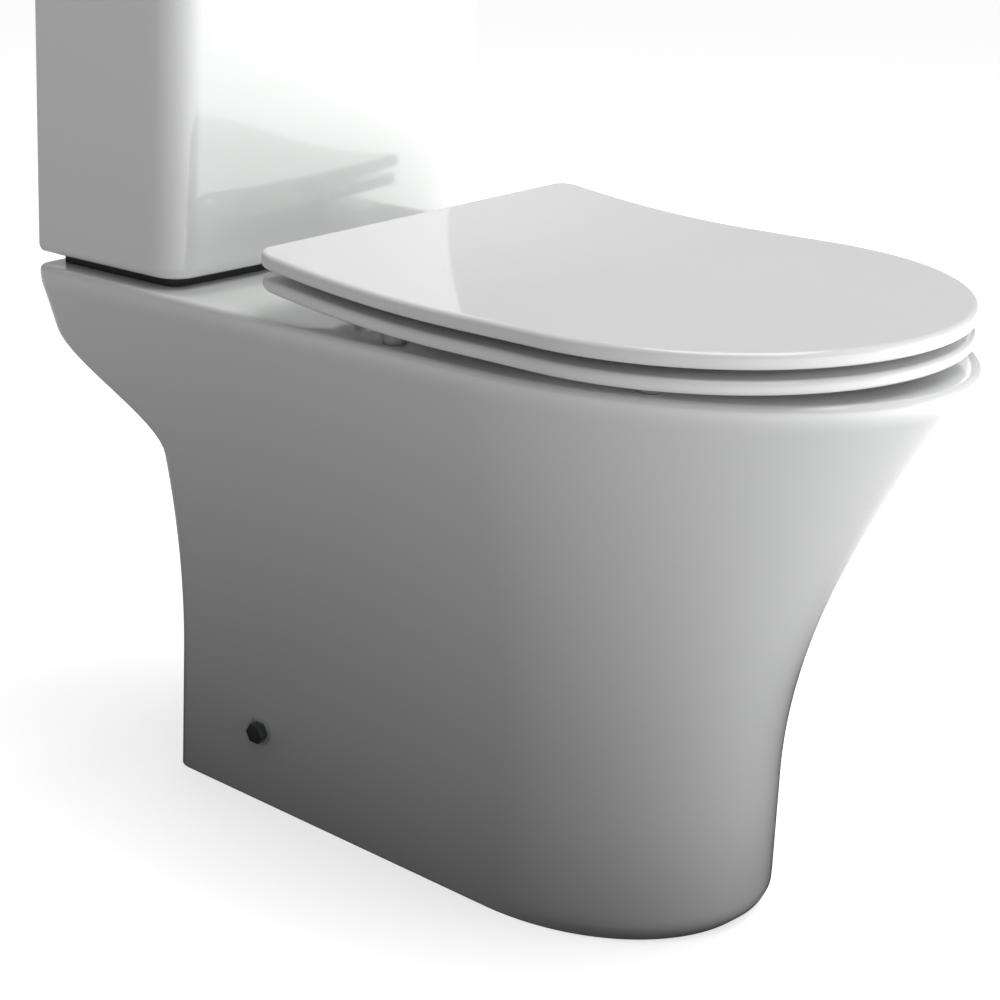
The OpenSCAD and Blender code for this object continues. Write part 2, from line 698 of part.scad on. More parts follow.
module side_screw_caps() {
  on_floor() color("#454a48") both_sides()
    translate([pedestal_w / 2 + 0.5, -bracket_back, side_screw_h]) difference() {
      rotate([0, 90, 0]) cylinder(r = cap_r, h = cap_h, $fn = 6);
      along_x(-over, 4.2, 5.6);
    }
}

// ---- what joins the cistern to the pan ----
plate_t = 2;
valve_nut_h = 10;
module coupling_plate() {
  on_floor() color(steel) translate([0, valve_y, cistern_z - plate_t]) linear_extrude(height = plate_t)
    difference() {
      union() {
        circle(r = 42);
        square([coupling_gap + 34, 28], center = true);
      }
      circle(r = valve_tail_r + 0.4);
      both_sides() translate([coupling_gap / 2, 0]) circle(r = bolt_r + 0.3);
    }
}
module coupling_bolts() {
  on_floor() color(brass) both_sides() translate([coupling_gap / 2, valve_y, 0]) {
    translate([0, 0, rim_h - 45]) cylinder(r = bolt_r, h = cistern_gap + 45 + 1);
    translate([0, 0, cistern_z]) cylinder(r = 8.5, h = 5, $fn = 6);
  }
}
module coupling_washers() {
  on_floor() color(rubber) both_sides()
    translate([coupling_gap / 2, valve_y, rim_h - pan_wall - washer_t])
      ring(14, bolt_r + run_clear, washer_t);
}
module coupling_wing_nuts() {
  on_floor() color(brass) both_sides()
    translate([coupling_gap / 2, valve_y, rim_h - pan_wall - washer_t - nut_h])
      rotate([0, 0, 90]) wing_nut(nut_h);
}

// ---- flush valve ----
valve_wall = 4.8;
valve_in_r = valve_tail_r - valve_wall;
cage_r = 36.5;
leg_r = 3;
cage_h = 74;
washer_z = tank_floor;
flange_z = tank_floor + washer_t;
flange_t = 6;
tower_r = 22;
tower_in_r = 17.5;
module flush_valve_body() {
  on_floor() color(valve_grey) translate([0, valve_y, 0]) difference() {
    union() {
      translate([0, 0, cistern_z - 23]) cylinder(r = valve_tail_r, h = 23 + cistern_floor + washer_t + 1);
      translate([0, 0, flange_z]) cylinder(r = valve_flange_r, h = flange_t);
      translate([0, 0, flange_z + 1]) cylinder(r = valve_in_r + 4, h = flange_t + 1);
      for (a = [45 : 90 : 315]) rotate([0, 0, a]) translate([cage_r, 0, flange_z + 1])
        cylinder(r = leg_r, h = flange_t + cage_h);
      translate([0, 0, flange_z + flange_t + cage_h - 4]) cylinder(r = valve_flange_r, h = 6);
      translate([0, 0, flange_z + flange_t + cage_h])
        cylinder(r = tower_r, h = valve_h - cage_h - flange_t);
    }
    translate([0, 0, cistern_z - 23 - over])
      cylinder(r = valve_in_r, h = 23 + cistern_floor + washer_t + flange_t + 2 * over);
    translate([0, 0, flange_z + flange_t]) cylinder(r = tower_in_r, h = valve_h + over);
  }
}
module flush_valve_head() {
  on_floor() color(valve_blue) translate([0, valve_y, flange_z + valve_h]) {
    cylinder(r = tower_r + 4, h = 10);
    translate([0, 0, -6]) ring(tower_r + 4, tower_r + 0.3, 6 + eps);
  }
}
module flush_valve_washer() {
  on_floor() color(rubber) translate([0, valve_y, washer_z])
    ring(valve_flange_r, valve_tail_r + 0.2, washer_t);
}
module flush_valve_nut() {
  on_floor() color(valve_grey) translate([0, valve_y, cistern_z - plate_t - valve_nut_h])
    ring(41, valve_tail_r + run_clear, valve_nut_h);
}
module doughnut_washer() {
  seat_z = rim_h - well_depth;
  on_floor() color(rubber) translate([0, valve_y, seat_z]) rotate_extrude() polygon([
    [valve_tail_r + 0.5, 0], [well_r - 3, 0], [well_r - 1, 5],
    [well_r - 3, cistern_z - plate_t - valve_nut_h - seat_z],
    [valve_tail_r + 0.5, cistern_z - plate_t - valve_nut_h - seat_z]]);
}
seal_z = flange_z + flange_t + 2 + touch_gap;
seal_t = 4;
piston_top = flange_z + valve_h - 30;
module flush_valve_piston() {
  on_floor() color(valve_blue) translate([0, valve_y, 0]) difference() {
    union() {
      translate([0, 0, seal_z + seal_t]) cylinder(r = 30, h = 5);
      translate([0, 0, seal_z + seal_t + 1]) cylinder(r = overflow_r, h = piston_top - seal_z - seal_t - 1);
      translate([0, 0, seal_z]) cylinder(r = 18, h = seal_t + 1);
    }
    translate([0, 0, seal_z - over]) cylinder(r = overflow_r - 2.5, h = piston_top);
  }
}
module flush_valve_seal() {
  on_floor() color(rubber) translate([0, valve_y, seal_z]) ring(30.5, 18, seal_t);
}

// ---- flush buttons ----
lid_top = cistern_top + tank_lid_h;
button_z = lid_top - 6;
button_h = 8;
housing_low = lid_top - 26;
module button_housing() {
  on_floor() color(chrome) translate([0, valve_y, 0]) difference() {
    union() {
      translate([0, 0, lid_top]) cylinder(r = bezel_r, h = 3);
      translate([0, 0, housing_low]) cylinder(r = button_hole_r - 0.5, h = lid_top - housing_low + 1);
    }
    translate([0, 0, housing_low + 3]) cylinder(r = button_r + 0.25, h = lid_top - housing_low);
    for (s = [-1, 1]) translate([s * rod_x, 0, housing_low - over]) cylinder(r = rod_r + 0.5, h = 10);
  }
}
module button_nut() {
  on_floor() color(plastic) translate([0, valve_y, lid_top - tank_lid_t - 6])
    ring(28, button_hole_r - 0.5 + run_clear, 6);
}
// One of the two buttons: the part of the disc on one side of the split.
split_x = -4;
module button_part(side) {
  translate([0, valve_y, button_z]) intersection() {
    cylinder(r = button_r, h = button_h);
    translate([side > 0 ? split_x + button_split / 2 : split_x - button_split / 2 - 2 * button_r,
      -button_r - 1, -1]) cube([2 * button_r, 2 * button_r + 2, button_h + 2]);
  }
}
rod_r = 2.5;
rod_x = 11;
rod_low = flange_z + valve_h + 10 + button_travel + 1;
module push_rod(x) {
  translate([x, valve_y, rod_low]) cylinder(r = rod_r, h = button_z - rod_low);
  translate([x, valve_y, rod_low]) cylinder(r = 5, h = 4);
}
module full_flush_button() { on_floor() color(chrome) button_part(1); }
module half_flush_button() { on_floor() color(chrome) button_part(-1); }
module full_push_rod() { on_floor() color(valve_blue) push_rod(rod_x); }
module half_push_rod() { on_floor() color(valve_grey) push_rod(-rod_x); }

// ---- fill valve ----
fill_washer_t = 2;
fill_flange_z = tank_floor + fill_washer_t;
fill_tail_l = 40;
fill_thread_l = 20;
fill_shank_r = fill_tail_r + 0.4;
head_z = fill_flange_z + fill_h;
float_z = fill_flange_z + fill_h - 32 - float_h - float_travel;
module fill_valve_body() {
  on_floor() color(valve_grey) translate([fill_x, valve_y, 0]) {
    translate([0, 0, cistern_z - fill_tail_l]) cylinder(r = fill_tail_r, h = fill_thread_l + 1);
    translate([0, 0, cistern_z - fill_tail_l + fill_thread_l])
      cylinder(r = fill_shank_r, h = fill_tail_l - fill_thread_l + cistern_floor + fill_washer_t + 1);
    translate([0, 0, fill_flange_z]) cylinder(r = 19, h = 5);
    translate([0, 0, fill_flange_z + 1]) cylinder(r = fill_r, h = fill_h - 1);
  }
}
module fill_valve_washer() {
  on_floor() color(rubber) translate([fill_x, valve_y, tank_floor])
    ring(18, fill_shank_r + 0.2, fill_washer_t);
}
module fill_valve_nut() {
  on_floor() color(plastic) translate([fill_x, valve_y, cistern_z - 9]) difference() {
    cylinder(r = 17, h = 9, $fn = 6);
    translate([0, 0, -over]) cylinder(r = fill_shank_r + run_clear, h = 9 + 2 * over);
  }
}
arm_pivot_h = 18;
float_rod_x = float_r - 4;
rod_gap = 2.2;
float_arm_l = float_rod_x + 5;
arm_t = 6;
pivot_r = 2;
module fill_valve_head() {
  on_floor() color(valve_blue) translate([fill_x, valve_y, head_z]) difference() {
    union() {
      cylinder(r = 17, h = 6);
      for (s = [-1, 1]) translate([-6, s * 7 - 1.5, 3]) cube([12, 3, arm_pivot_h + 2]);
    }
    translate([0, 12, arm_pivot_h]) rotate([90, 0, 0]) cylinder(r = pivot_r, h = 24);
  }
}
module fill_float() {
  on_floor() color(valve_blue) translate([fill_x, valve_y, 0]) {
    translate([0, 0, float_z]) ring(float_r, fill_r + 1.5, float_h);
    translate([-float_rod_x, 0, float_z + float_h - 1])
      cylinder(r = 2, h = head_z + arm_pivot_h - arm_t / 2 - rod_gap - float_z - float_h + 1);
  }
}
module float_arm() {
  on_floor() color(valve_grey) translate([fill_x, valve_y, head_z + arm_pivot_h]) difference() {
    union() {
      translate([-float_arm_l, -4, -arm_t / 2]) cube([float_arm_l, 8, arm_t]);
      rotate([90, 0, 0]) translate([0, 0, -4]) cylinder(r = 4, h = 8);
    }
    translate([0, 12, 0]) rotate([90, 0, 0]) cylinder(r = pivot_r + run_clear, h = 24);
  }
}
module float_arm_pin() {
  on_floor() color(steel) translate([fill_x, valve_y + 9, head_z + arm_pivot_h])
    rotate([90, 0, 0]) cylinder(r = pivot_r, h = 18);
}

pan();
cistern_body();
cistern_lid();
cistern_gasket();
seat_ring();
seat_lid();
seat_bumpers();
lid_bumpers();
hinge_posts();
hinge_pins();
seat_dampers();
lid_dampers();
seat_bolts();
seat_washers();
seat_wing_nuts();
floor_brackets();
side_screws();
side_screw_sleeves();
side_screw_caps();
coupling_plate();
coupling_bolts();
coupling_washers();
coupling_wing_nuts();
flush_valve_body();
flush_valve_head();
flush_valve_washer();
flush_valve_nut();
doughnut_washer();
flush_valve_piston();
flush_valve_seal();
button_housing();
button_nut();
full_flush_button();
half_flush_button();
full_push_rod();
half_push_rod();
fill_valve_body();
fill_valve_washer();
fill_valve_nut();
fill_valve_head();
fill_float();
float_arm();
float_arm_pin();
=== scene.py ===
# %% [markdown]
# A close coupled toilet: a glazed pan with a skirted pedestal, a cistern on the back of the pan,
# a slim seat and lid on chrome hinges, and the fittings inside and under it.
# The CAD model is loaded first. It fixes every place and size, and every new piece keeps inside it.
import json
import math
import bpy
import bmesh
from mathutils import Matrix, Vector


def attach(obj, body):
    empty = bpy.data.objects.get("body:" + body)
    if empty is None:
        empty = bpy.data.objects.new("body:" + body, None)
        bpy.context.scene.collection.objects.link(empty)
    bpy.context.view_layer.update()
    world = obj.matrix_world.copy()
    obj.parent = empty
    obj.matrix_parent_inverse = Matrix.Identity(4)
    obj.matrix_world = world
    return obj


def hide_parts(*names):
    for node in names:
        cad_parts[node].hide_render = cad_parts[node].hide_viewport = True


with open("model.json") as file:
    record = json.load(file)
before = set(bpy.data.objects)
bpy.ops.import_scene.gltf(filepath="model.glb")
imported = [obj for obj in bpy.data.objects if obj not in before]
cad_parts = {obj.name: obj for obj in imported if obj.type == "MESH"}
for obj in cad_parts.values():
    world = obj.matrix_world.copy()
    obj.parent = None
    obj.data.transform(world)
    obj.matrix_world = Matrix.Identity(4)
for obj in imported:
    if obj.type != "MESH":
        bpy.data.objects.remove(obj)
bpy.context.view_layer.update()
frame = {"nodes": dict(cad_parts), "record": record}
record = frame["record"]
scene = bpy.context.scene

# %% [markdown]
# The sizes below repeat the CAD model's named sizes, in metres, so that the smooth skins
# follow the same curves as the CAD solids. Distances are measured from the wall, which is the
# high Y side; `row_y` turns such a distance into a Y value.

# %% Sizes of the pan
OVERALL_D, RIM_H, PAN_W = 0.638, 0.405, 0.368
PEDESTAL_W, FRONT_OVERHANG, PEDESTAL_BACK = 0.232, 0.107, 0.091
RIM_NOSE, PEDESTAL_NOSE, PAN_CORNER_R = 0.240, 0.129, 0.014
FLARE_START, FLARE_POWER = 0.094, 1.9
PLATFORM_LOW, PLATFORM_DROP = 0.265, 0.052
TOE_IN, TOE_H = 0.009, 0.014
PAN_WALL, RIM_EDGE_R, RIM_BAND, BAND_SOFT = 0.012, 0.0045, 0.011, 0.02
BOWL_W, BOWL_L, RIM_FRONT_W, BOWL_DEPTH, BOWL_LEAN = 0.260, 0.296, 0.046, 0.245, 0.040
BOWL_MID = OVERALL_D - RIM_FRONT_W - BOWL_L / 2

# %% Sizes of the cistern
TANK_W, TANK_D, TANK_H = 0.354, 0.152, 0.345
TANK_Z = 0.412
TANK_TOP = TANK_Z + TANK_H
SIDE_LEAN, FRONT_LEAN, FRONT_BOW = 0.004, 0.007, 0.008
TANK_CORNER_R, TANK_FOOT_R, TANK_WALL, TANK_FLOOR_T = 0.026, 0.009, 0.009, 0.010
LID_OVER, TANK_LID_H, TANK_LID_T = 0.004, 0.027, 0.010
RIB_CLEAR, RIB_H, RIB_T, LID_EDGE_R = 0.002, 0.009, 0.006, 0.006
VALVE_D = TANK_D / 2 - 0.002
FILL_X = 0.110

# %% Sizes of the seat and the lid
SEAT_W, SEAT_BACK, SEAT_FRONT = 0.370, 0.226, OVERALL_D - 0.011
SEAT_NOSE = 0.169
SEAT_Z, SEAT_T, LID_Z, LID_T = 0.413, 0.009, 0.4285, 0.0105
SEAT_RISE, RISE_LEN, RING_STEP, SEAT_CORNER_R = 0.014, 0.170, 0.002, 0.016
RING_SIDE, RING_FRONT, RING_HOLE_L = 0.072, 0.062, 0.262


def row_y(distance):
    """Y of a point at this distance from the wall."""
    return OVERALL_D / 2 - distance


# %% [markdown]
# Glazed ware has no straight edges or flat facets, so its skins are lofted. One ring of edges is
# extruded again and again, and each new ring is moved to the next outline. Every point keeps
# its number in a layer, so the rings stay in step and never twist.

# %% Lofting helpers
def ring_of_edges(bm, outline):
    """The first ring: points joined end to end. Each point's number is kept in a layer."""
    layer = bm.verts.layers.int.get("place") or bm.verts.layers.int.new("place")
    points = [bm.verts.new(place) for place in outline]
    for number, point in enumerate(points):
        point[layer] = number
    return [bm.edges.new((points[k - 1], points[k])) for k in range(len(points))]


def loft(bm, outlines, close_first=False, close_last=False):
    """Extrudes a ring of edges through every outline and returns the last ring's edges."""
    edges = ring_of_edges(bm, outlines[0])
    layer = bm.verts.layers.int["place"]
    if close_first:
        bmesh.ops.contextual_create(bm, geom=edges)
    for outline in outlines[1:]:
        grown = bmesh.ops.extrude_edge_only(bm, edges=edges)["geom"]
        edges = [g for g in grown if isinstance(g, bmesh.types.BMEdge)]
        for point in (g for g in grown if isinstance(g, bmesh.types.BMVert)):
            point.co = outline[point[layer]]
    if close_last:
        bmesh.ops.contextual_create(bm, geom=edges)
    return edges


def finish_mesh(bm, name, crease=32.0):
    """Merges doubles, turns the faces outwards, smooths the shading and makes the object."""
    bmesh.ops.remove_doubles(bm, verts=bm.verts, dist=2e-6)
    bmesh.ops.recalc_face_normals(bm, faces=bm.faces)
    mesh = bpy.data.meshes.new(name)
    bm.to_mesh(mesh)
    bm.free()
    mesh.shade_smooth()
    mesh.set_sharp_from_angle(angle=math.radians(crease))
    piece = bpy.data.objects.new(name, mesh)
    scene.collection.objects.link(piece)
    return piece


def carve(piece, cutters, crease=32.0, operation="DIFFERENCE"):
    """Cuts or joins the cutters with a boolean, keeps the result and deletes the cutters."""
    for cutter in cutters:
        step = piece.modifiers.new("cut", "BOOLEAN")
        step.operation, step.solver, step.object = operation, "EXACT", cutter
    shape = bpy.context.evaluated_depsgraph_get()
    result = bpy.data.meshes.new_from_object(piece.evaluated_get(shape))
    piece.modifiers.clear()
    piece.data = result
    for cutter in cutters:
        bpy.data.objects.remove(cutter)
    result.shade_smooth()
    result.set_sharp_from_angle(angle=math.radians(crease))
    return piece


def spot(x, distance, z):
    """A place given as X, distance from the wall and height."""
    return Vector((x, row_y(distance), z))


def rod(start, end, radius, name="rod", sides=64, end_radius=None):
    """A closed cylinder, or a cone, between two places."""
    bm = bmesh.new()
    span = Vector(end) - Vector(start)
    turn = span.to_track_quat("Z", "Y").to_matrix().to_4x4()
    move = Matrix.Translation((Vector(start) + Vector(end)) / 2) @ turn
    bmesh.ops.create_cone(bm, cap_ends=True, segments=sides, radius1=radius,
                          radius2=radius if end_radius is None else end_radius,
                          depth=span.length, matrix=move)
    return finish_mesh(bm, name)


def block(low, high, name="block"):
    """A box between two corners."""
    bm = bmesh.new()
    size = Vector(high) - Vector(low)
    move = Matrix.Translation((Vector(low) + Vector(high)) / 2)
    bmesh.ops.create_cube(bm, size=1.0, matrix=move @ Matrix.Diagonal((*size, 1.0)))
    return finish_mesh(bm, name)


def ball(centre, radius, name="ball"):
    """A sphere."""
    bm = bmesh.new()
    bmesh.ops.create_uvsphere(bm, u_segments=48, v_segments=24, radius=radius,
                              matrix=Matrix.Translation(centre))
    return finish_mesh(bm, name)


def quarter(steps, first=0):
    """Angles of a quarter turn in even steps."""
    return [math.pi / 2 * k / steps for k in range(first, steps + 1)]


def ease(share):
    """A smooth step from 0 to 1."""
    share = min(1.0, max(0.0, share))
    return share * share * (3 - 2 * share)


# %% [markdown]
# The pan, the seat and the lid share one kind of outline: a straight back with two rounded
# corners, straight sides and an elliptical front. It is worked out once, with an even number
# of points on each stretch, and used at every height.

# %% The D-shaped outline
NOSE_N, SIDE_N, CORNER_N, BACK_N = 112, 28, 8, 14


def d_outline(half, back, front, nose, corner):
    """Points of the outline as (x, distance from the wall)."""
    points = []
    for k in range(NOSE_N + 1):
        a = math.pi * k / NOSE_N
        points.append((-half * math.cos(a), front - nose + nose * math.sin(a)))
    straight = front - nose - back - corner
    for k in range(1, SIDE_N):
        points.append((half, front - nose - straight * k / SIDE_N))
    for k in range(CORNER_N + 1):
        a = math.pi / 2 * k / CORNER_N
        points.append((half - corner + corner * math.cos(a), back + corner - corner * math.sin(a)))
    for k in range(1, BACK_N):
        points.append(((half - corner) * (1 - 2 * k / BACK_N), back))
    for k in range(CORNER_N + 1):
        a = math.pi / 2 * (1 - k / CORNER_N)
        points.append((-half + corner - corner * math.cos(a), back + corner - corner * math.sin(a)))
    for k in range(1, SIDE_N):
        points.append((-half, back + corner + straight * k / SIDE_N))
    return points


def at_height(points, z):
    """The outline as places at one height."""
    return [spot(x, d, z) for x, d in points]


print("points in a ring", len(d_outline(PAN_W / 2, 0.0, OVERALL_D, RIM_NOSE, PAN_CORNER_R)))


# %% [markdown]
# The pan is one casting. From the floor its skin rises almost straight, then flares out and
# forward to the rim, while the back sweeps out to carry the cistern. Over the rim it dives into
# the bowl, and the clay is about 12 mm thick, so a second skin runs up inside the pedestal.

# %% The pan's outlines
def flare(z):
    """How far the flare has opened, from 0 to 1; it stops softly at the band below the rim."""
    share = max(0.0, (z - FLARE_START) / (RIM_H - RIM_BAND - FLARE_START))
    over = max(0.0, min(1.0, 0.5 + (share - 1) / (2 * BAND_SOFT)))
    return min((1 - over) * share + over - BAND_SOFT * over * (1 - over), 1.0) ** FLARE_POWER


def pan_outline(z, inset):
    half = PEDESTAL_W / 2 + (PAN_W - PEDESTAL_W) / 2 * flare(z)
    front = OVERALL_D - FRONT_OVERHANG * (1 - flare(z)) - TOE_IN * max(0.0, 1 - z / TOE_H) ** 2
    nose = PEDESTAL_NOSE + (RIM_NOSE - PEDESTAL_NOSE) * flare(z)
    back = PEDESTAL_BACK * (1 - ease((z - PLATFORM_LOW) / (RIM_H - PLATFORM_DROP - PLATFORM_LOW)))
    return d_outline(half - inset, back + inset, front - inset, nose - inset,
                     max(PAN_CORNER_R - inset, 0.002))


def bowl_size(u):
    return (1 - u ** 1.6) ** 0.9


BOWL_ANGLES = [math.atan2((d - BOWL_MID) / BOWL_L, x / BOWL_W) for x, d in pan_outline(RIM_H, 0.0)]


def bowl_ring(u, grow, z):
    """One ring of the bowl: an ellipse that shrinks and moves back towards the sump."""
    across, along = BOWL_W / 2 * bowl_size(u) + grow, BOWL_L / 2 * bowl_size(u) + grow
    centre = BOWL_MID - BOWL_LEAN * u * u
    return [spot(across * math.cos(a), centre + along * math.sin(a), z) for a in BOWL_ANGLES]


def bowl_z(u):
    return RIM_H - BOWL_DEPTH * u


# %% The pan's skins
SKIN_N, BAND_N, BOWL_N, LIP_R = 64, 12, 36, 0.006
BAND_DROP, INNER_N = 0.022, 18
inner_top = RIM_H - PAN_WALL
rings = [bowl_ring(u, PAN_WALL, bowl_z(u) - PAN_WALL * u)
         for u in (0.97 * (1 - k / INNER_N) for k in range(INNER_N))]
rings.append(bowl_ring(0.0, PAN_WALL, inner_top))
rings += [at_height(pan_outline(z, PAN_WALL), z)
          for z in (inner_top * (1 - k / SKIN_N) for k in range(SKIN_N + 1))]
upright = [(RIM_H - BAND_DROP) * k / SKIN_N for k in range(SKIN_N)]
upright += [RIM_H - BAND_DROP + (BAND_DROP - RIM_EDGE_R) * k / BAND_N for k in range(BAND_N + 1)]
rings += [at_height(pan_outline(z, 0.0), z) for z in upright]
for a in quarter(8, 1):
    inset = RIM_EDGE_R * (1 - math.cos(a))
    rings.append(at_height(pan_outline(RIM_H, inset), RIM_H - RIM_EDGE_R * (1 - math.sin(a))))
for share in (0.15, 0.4, 0.7, 0.9):
    outer = at_height(pan_outline(RIM_H, RIM_EDGE_R), RIM_H)
    lip = bowl_ring(0.0, LIP_R, RIM_H)
    rings.append([o.lerp(i, share) for o, i in zip(outer, lip)])
for a in quarter(6):
    rings.append(bowl_ring(0.0, LIP_R * (1 - math.sin(a)), RIM_H - LIP_R * (1 - math.cos(a))))
lip_share = LIP_R / BOWL_DEPTH
rings += [bowl_ring(u, 0.0, bowl_z(u))
          for u in (lip_share + (0.975 - lip_share) * (k / BOWL_N) ** 1.05 for k in range(1, BOWL_N + 1))]
bm = bmesh.new()
loft(bm, rings, close_first=True, close_last=True)
pan_skin = finish_mesh(bm, "pan_glazed")
print("pan", len(pan_skin.data.polygons), "faces in", len(rings), "rings")

# %% [markdown]
# The trapway leaves the sump, climbs to the weir and drops to the outlet spigot at the back.
# The duct brings the water from the cistern to the back of the rim. Both are tubes that are
# joined to the casting and then bored out, as the CAD model does it.

# %% The pan's trapway, duct and holes
TRAP_R, TRAP_WALL, OUTLET_R, OUTLET_H, OUTLET_END = 0.027, 0.008, 0.051, 0.185, 0.040
SPIGOT_L, SPIGOT_STEP, BEND_OVER = 0.030, 0.001, 0.0006
WEIR_BACK, WEIR_H, DROP_BACK = 0.142, 0.232, 0.218
trap_in = spot(0, BOWL_MID - BOWL_LEAN - 0.002, RIM_H - BOWL_DEPTH + 0.022)
trap_top = spot(0, BOWL_MID - WEIR_BACK, WEIR_H)
trap_down = spot(0, BOWL_MID - DROP_BACK, OUTLET_H + 0.003)
bend = spot(0, BOWL_MID - DROP_BACK, OUTLET_H)
WELL_R, WELL_DEPTH = 0.046, 0.020
DUCT_HALF, DUCT_H, DUCT_WALL, DUCT_ROOF = 0.030, 0.020, 0.010, 0.007
DUCT_TOP = RIM_H - WELL_DEPTH - DUCT_ROOF
DUCT_LOW = DUCT_TOP - DUCT_H
DUCT_END = BOWL_MID - BOWL_L / 2 - 0.004
HINGE_X, HINGE_D = 0.155 / 2, SEAT_BACK + 0.004
COUPLING_X = 0.150 / 2
SCREW_D, SCREW_H = 0.181, 0.058
POST_IN = 0.007
BACK_HOLE_HALF = 0.075
BOLT_HOLE_R, SLEEVE_HOLE_R, DIMPLE_R = 0.0069, 0.00495, 0.011
FILL_HOLE_R, SUPPLY_HOLE_R, THROAT_R = 0.020, 0.022, 0.028
CUT_DEPTH, OVER = 0.03, 0.01


def trapway(radius, outlet, climb=None):
    return [climb or rod(trap_in, trap_top, radius), ball(trap_top, radius + BEND_OVER),
            rod(trap_top, trap_down, radius), ball(bend, outlet + BEND_OVER),
            rod(bend, spot(0, OUTLET_END, OUTLET_H), outlet - SPIGOT_STEP),
            rod(spot(0, OUTLET_END + SPIGOT_L, OUTLET_H), spot(0, OUTLET_END, OUTLET_H), outlet)]


bm = bmesh.new()
loft(bm, [bowl_ring(u, PAN_WALL / 2, bowl_z(u) - PAN_WALL / 2 * u)
          for u in (0.95, 0.88, 0.79, 0.68, 0.56, 0.44, 0.32, 0.2, 0.1, 0.0)],
     close_first=True, close_last=True)
bowl_room = finish_mesh(bm, "bowl room")
climb = carve(rod(trap_in, trap_top, TRAP_R + TRAP_WALL), [bowl_room])

back_opening = block((-BACK_HOLE_HALF, row_y(PEDESTAL_BACK + PAN_WALL + 0.008), -0.002),
                     (BACK_HOLE_HALF, row_y(PEDESTAL_BACK - 0.004), PLATFORM_LOW))
carve(pan_skin, [back_opening])
shell_half, shell_low, shell_top = DUCT_HALF + DUCT_WALL, DUCT_LOW - DUCT_WALL, RIM_H - 0.008
duct_shell = [block((-shell_half, row_y(DUCT_END), shell_low), (shell_half, row_y(VALVE_D), shell_top)),
              rod(spot(0, VALVE_D, shell_low), spot(0, VALVE_D, shell_top), WELL_R + DUCT_WALL)]
carve(pan_skin, trapway(TRAP_R + TRAP_WALL, OUTLET_R, climb) + duct_shell, operation="UNION")
bores = trapway(TRAP_R, OUTLET_R - TRAP_WALL) + [
    block((-DUCT_HALF, row_y(DUCT_END + 0.030), DUCT_LOW), (DUCT_HALF, row_y(VALVE_D), DUCT_TOP)),
    rod(spot(0, VALVE_D, DUCT_LOW), spot(0, VALVE_D, RIM_H + 0.1), THROAT_R),
    rod(spot(0, VALVE_D, RIM_H - WELL_DEPTH), spot(0, VALVE_D, RIM_H + 0.1), WELL_R),
    rod(spot(FILL_X, VALVE_D, RIM_H - CUT_DEPTH), spot(FILL_X, VALVE_D, RIM_H + OVER), FILL_HOLE_R)]
for side in (-1, 1):
    bores += [
        rod(spot(side * FILL_X, VALVE_D, PLATFORM_LOW - 0.060),
            spot(side * FILL_X, VALVE_D, RIM_H - PAN_WALL - 0.005), SUPPLY_HOLE_R),
        rod(spot(side * HINGE_X, HINGE_D + POST_IN, RIM_H - CUT_DEPTH),
            spot(side * HINGE_X, HINGE_D + POST_IN, RIM_H + OVER), BOLT_HOLE_R),
        rod(spot(side * COUPLING_X, VALVE_D, RIM_H - CUT_DEPTH),
            spot(side * COUPLING_X, VALVE_D, RIM_H + OVER), BOLT_HOLE_R),
        rod(spot(side * (PEDESTAL_W / 2 - 0.02), SCREW_D, SCREW_H),
            spot(side * (PEDESTAL_W / 2 + OVER), SCREW_D, SCREW_H), SLEEVE_HOLE_R),
        rod(spot(side * (PEDESTAL_W / 2 - 0.001), SCREW_D, SCREW_H),
            spot(side * (PEDESTAL_W / 2 + OVER), SCREW_D, SCREW_H), DIMPLE_R)]
carve(pan_skin, bores)
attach(pan_skin, "root")
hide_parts("pan")
print("pan after carving", len(pan_skin.data.polygons), "faces")


# %% [markdown]
# The cistern is a slip-cast tank with a bowed front. It leans out a little as it rises, its
# bottom edge is rounded, and it stands clear of the pan on a rubber gasket.

# %% The cistern's outlines
TANK_CORNER_N, TANK_FRONT_N, TANK_SIDE_N = 14, 48, 10


def tank_outline(t, inset, back, over=0.0):
    half = TANK_W / 2 + SIDE_LEAN * t - inset + over
    depth = TANK_D + FRONT_LEAN * t - inset + over
    r = max(TANK_CORNER_R - inset + over, 0.003)
    bow = FRONT_BOW / (TANK_W / 2) ** 2
    flat = half - r
    side_end = depth - bow * flat * flat - r
    points = [(half - 2 * half * k / TANK_FRONT_N, back) for k in range(TANK_FRONT_N)]
    points += [(-half, back + (side_end - back) * k / TANK_SIDE_N) for k in range(TANK_SIDE_N)]
    for k in range(TANK_CORNER_N):
        a = math.pi / 2 * k / TANK_CORNER_N
        points.append((-half + r - r * math.cos(a), side_end + r * math.sin(a)))
    for k in range(TANK_FRONT_N):
        x = -flat + 2 * flat * k / TANK_FRONT_N
        points.append((x, depth - bow * x * x))
    for k in range(TANK_CORNER_N):
        a = math.pi / 2 * k / TANK_CORNER_N
        points.append((flat + r * math.sin(a), side_end + r * math.cos(a)))
    points += [(half, side_end - (side_end - back) * k / TANK_SIDE_N) for k in range(TANK_SIDE_N)]
    return points


def lean(z):
    return (z - TANK_Z) / TANK_H


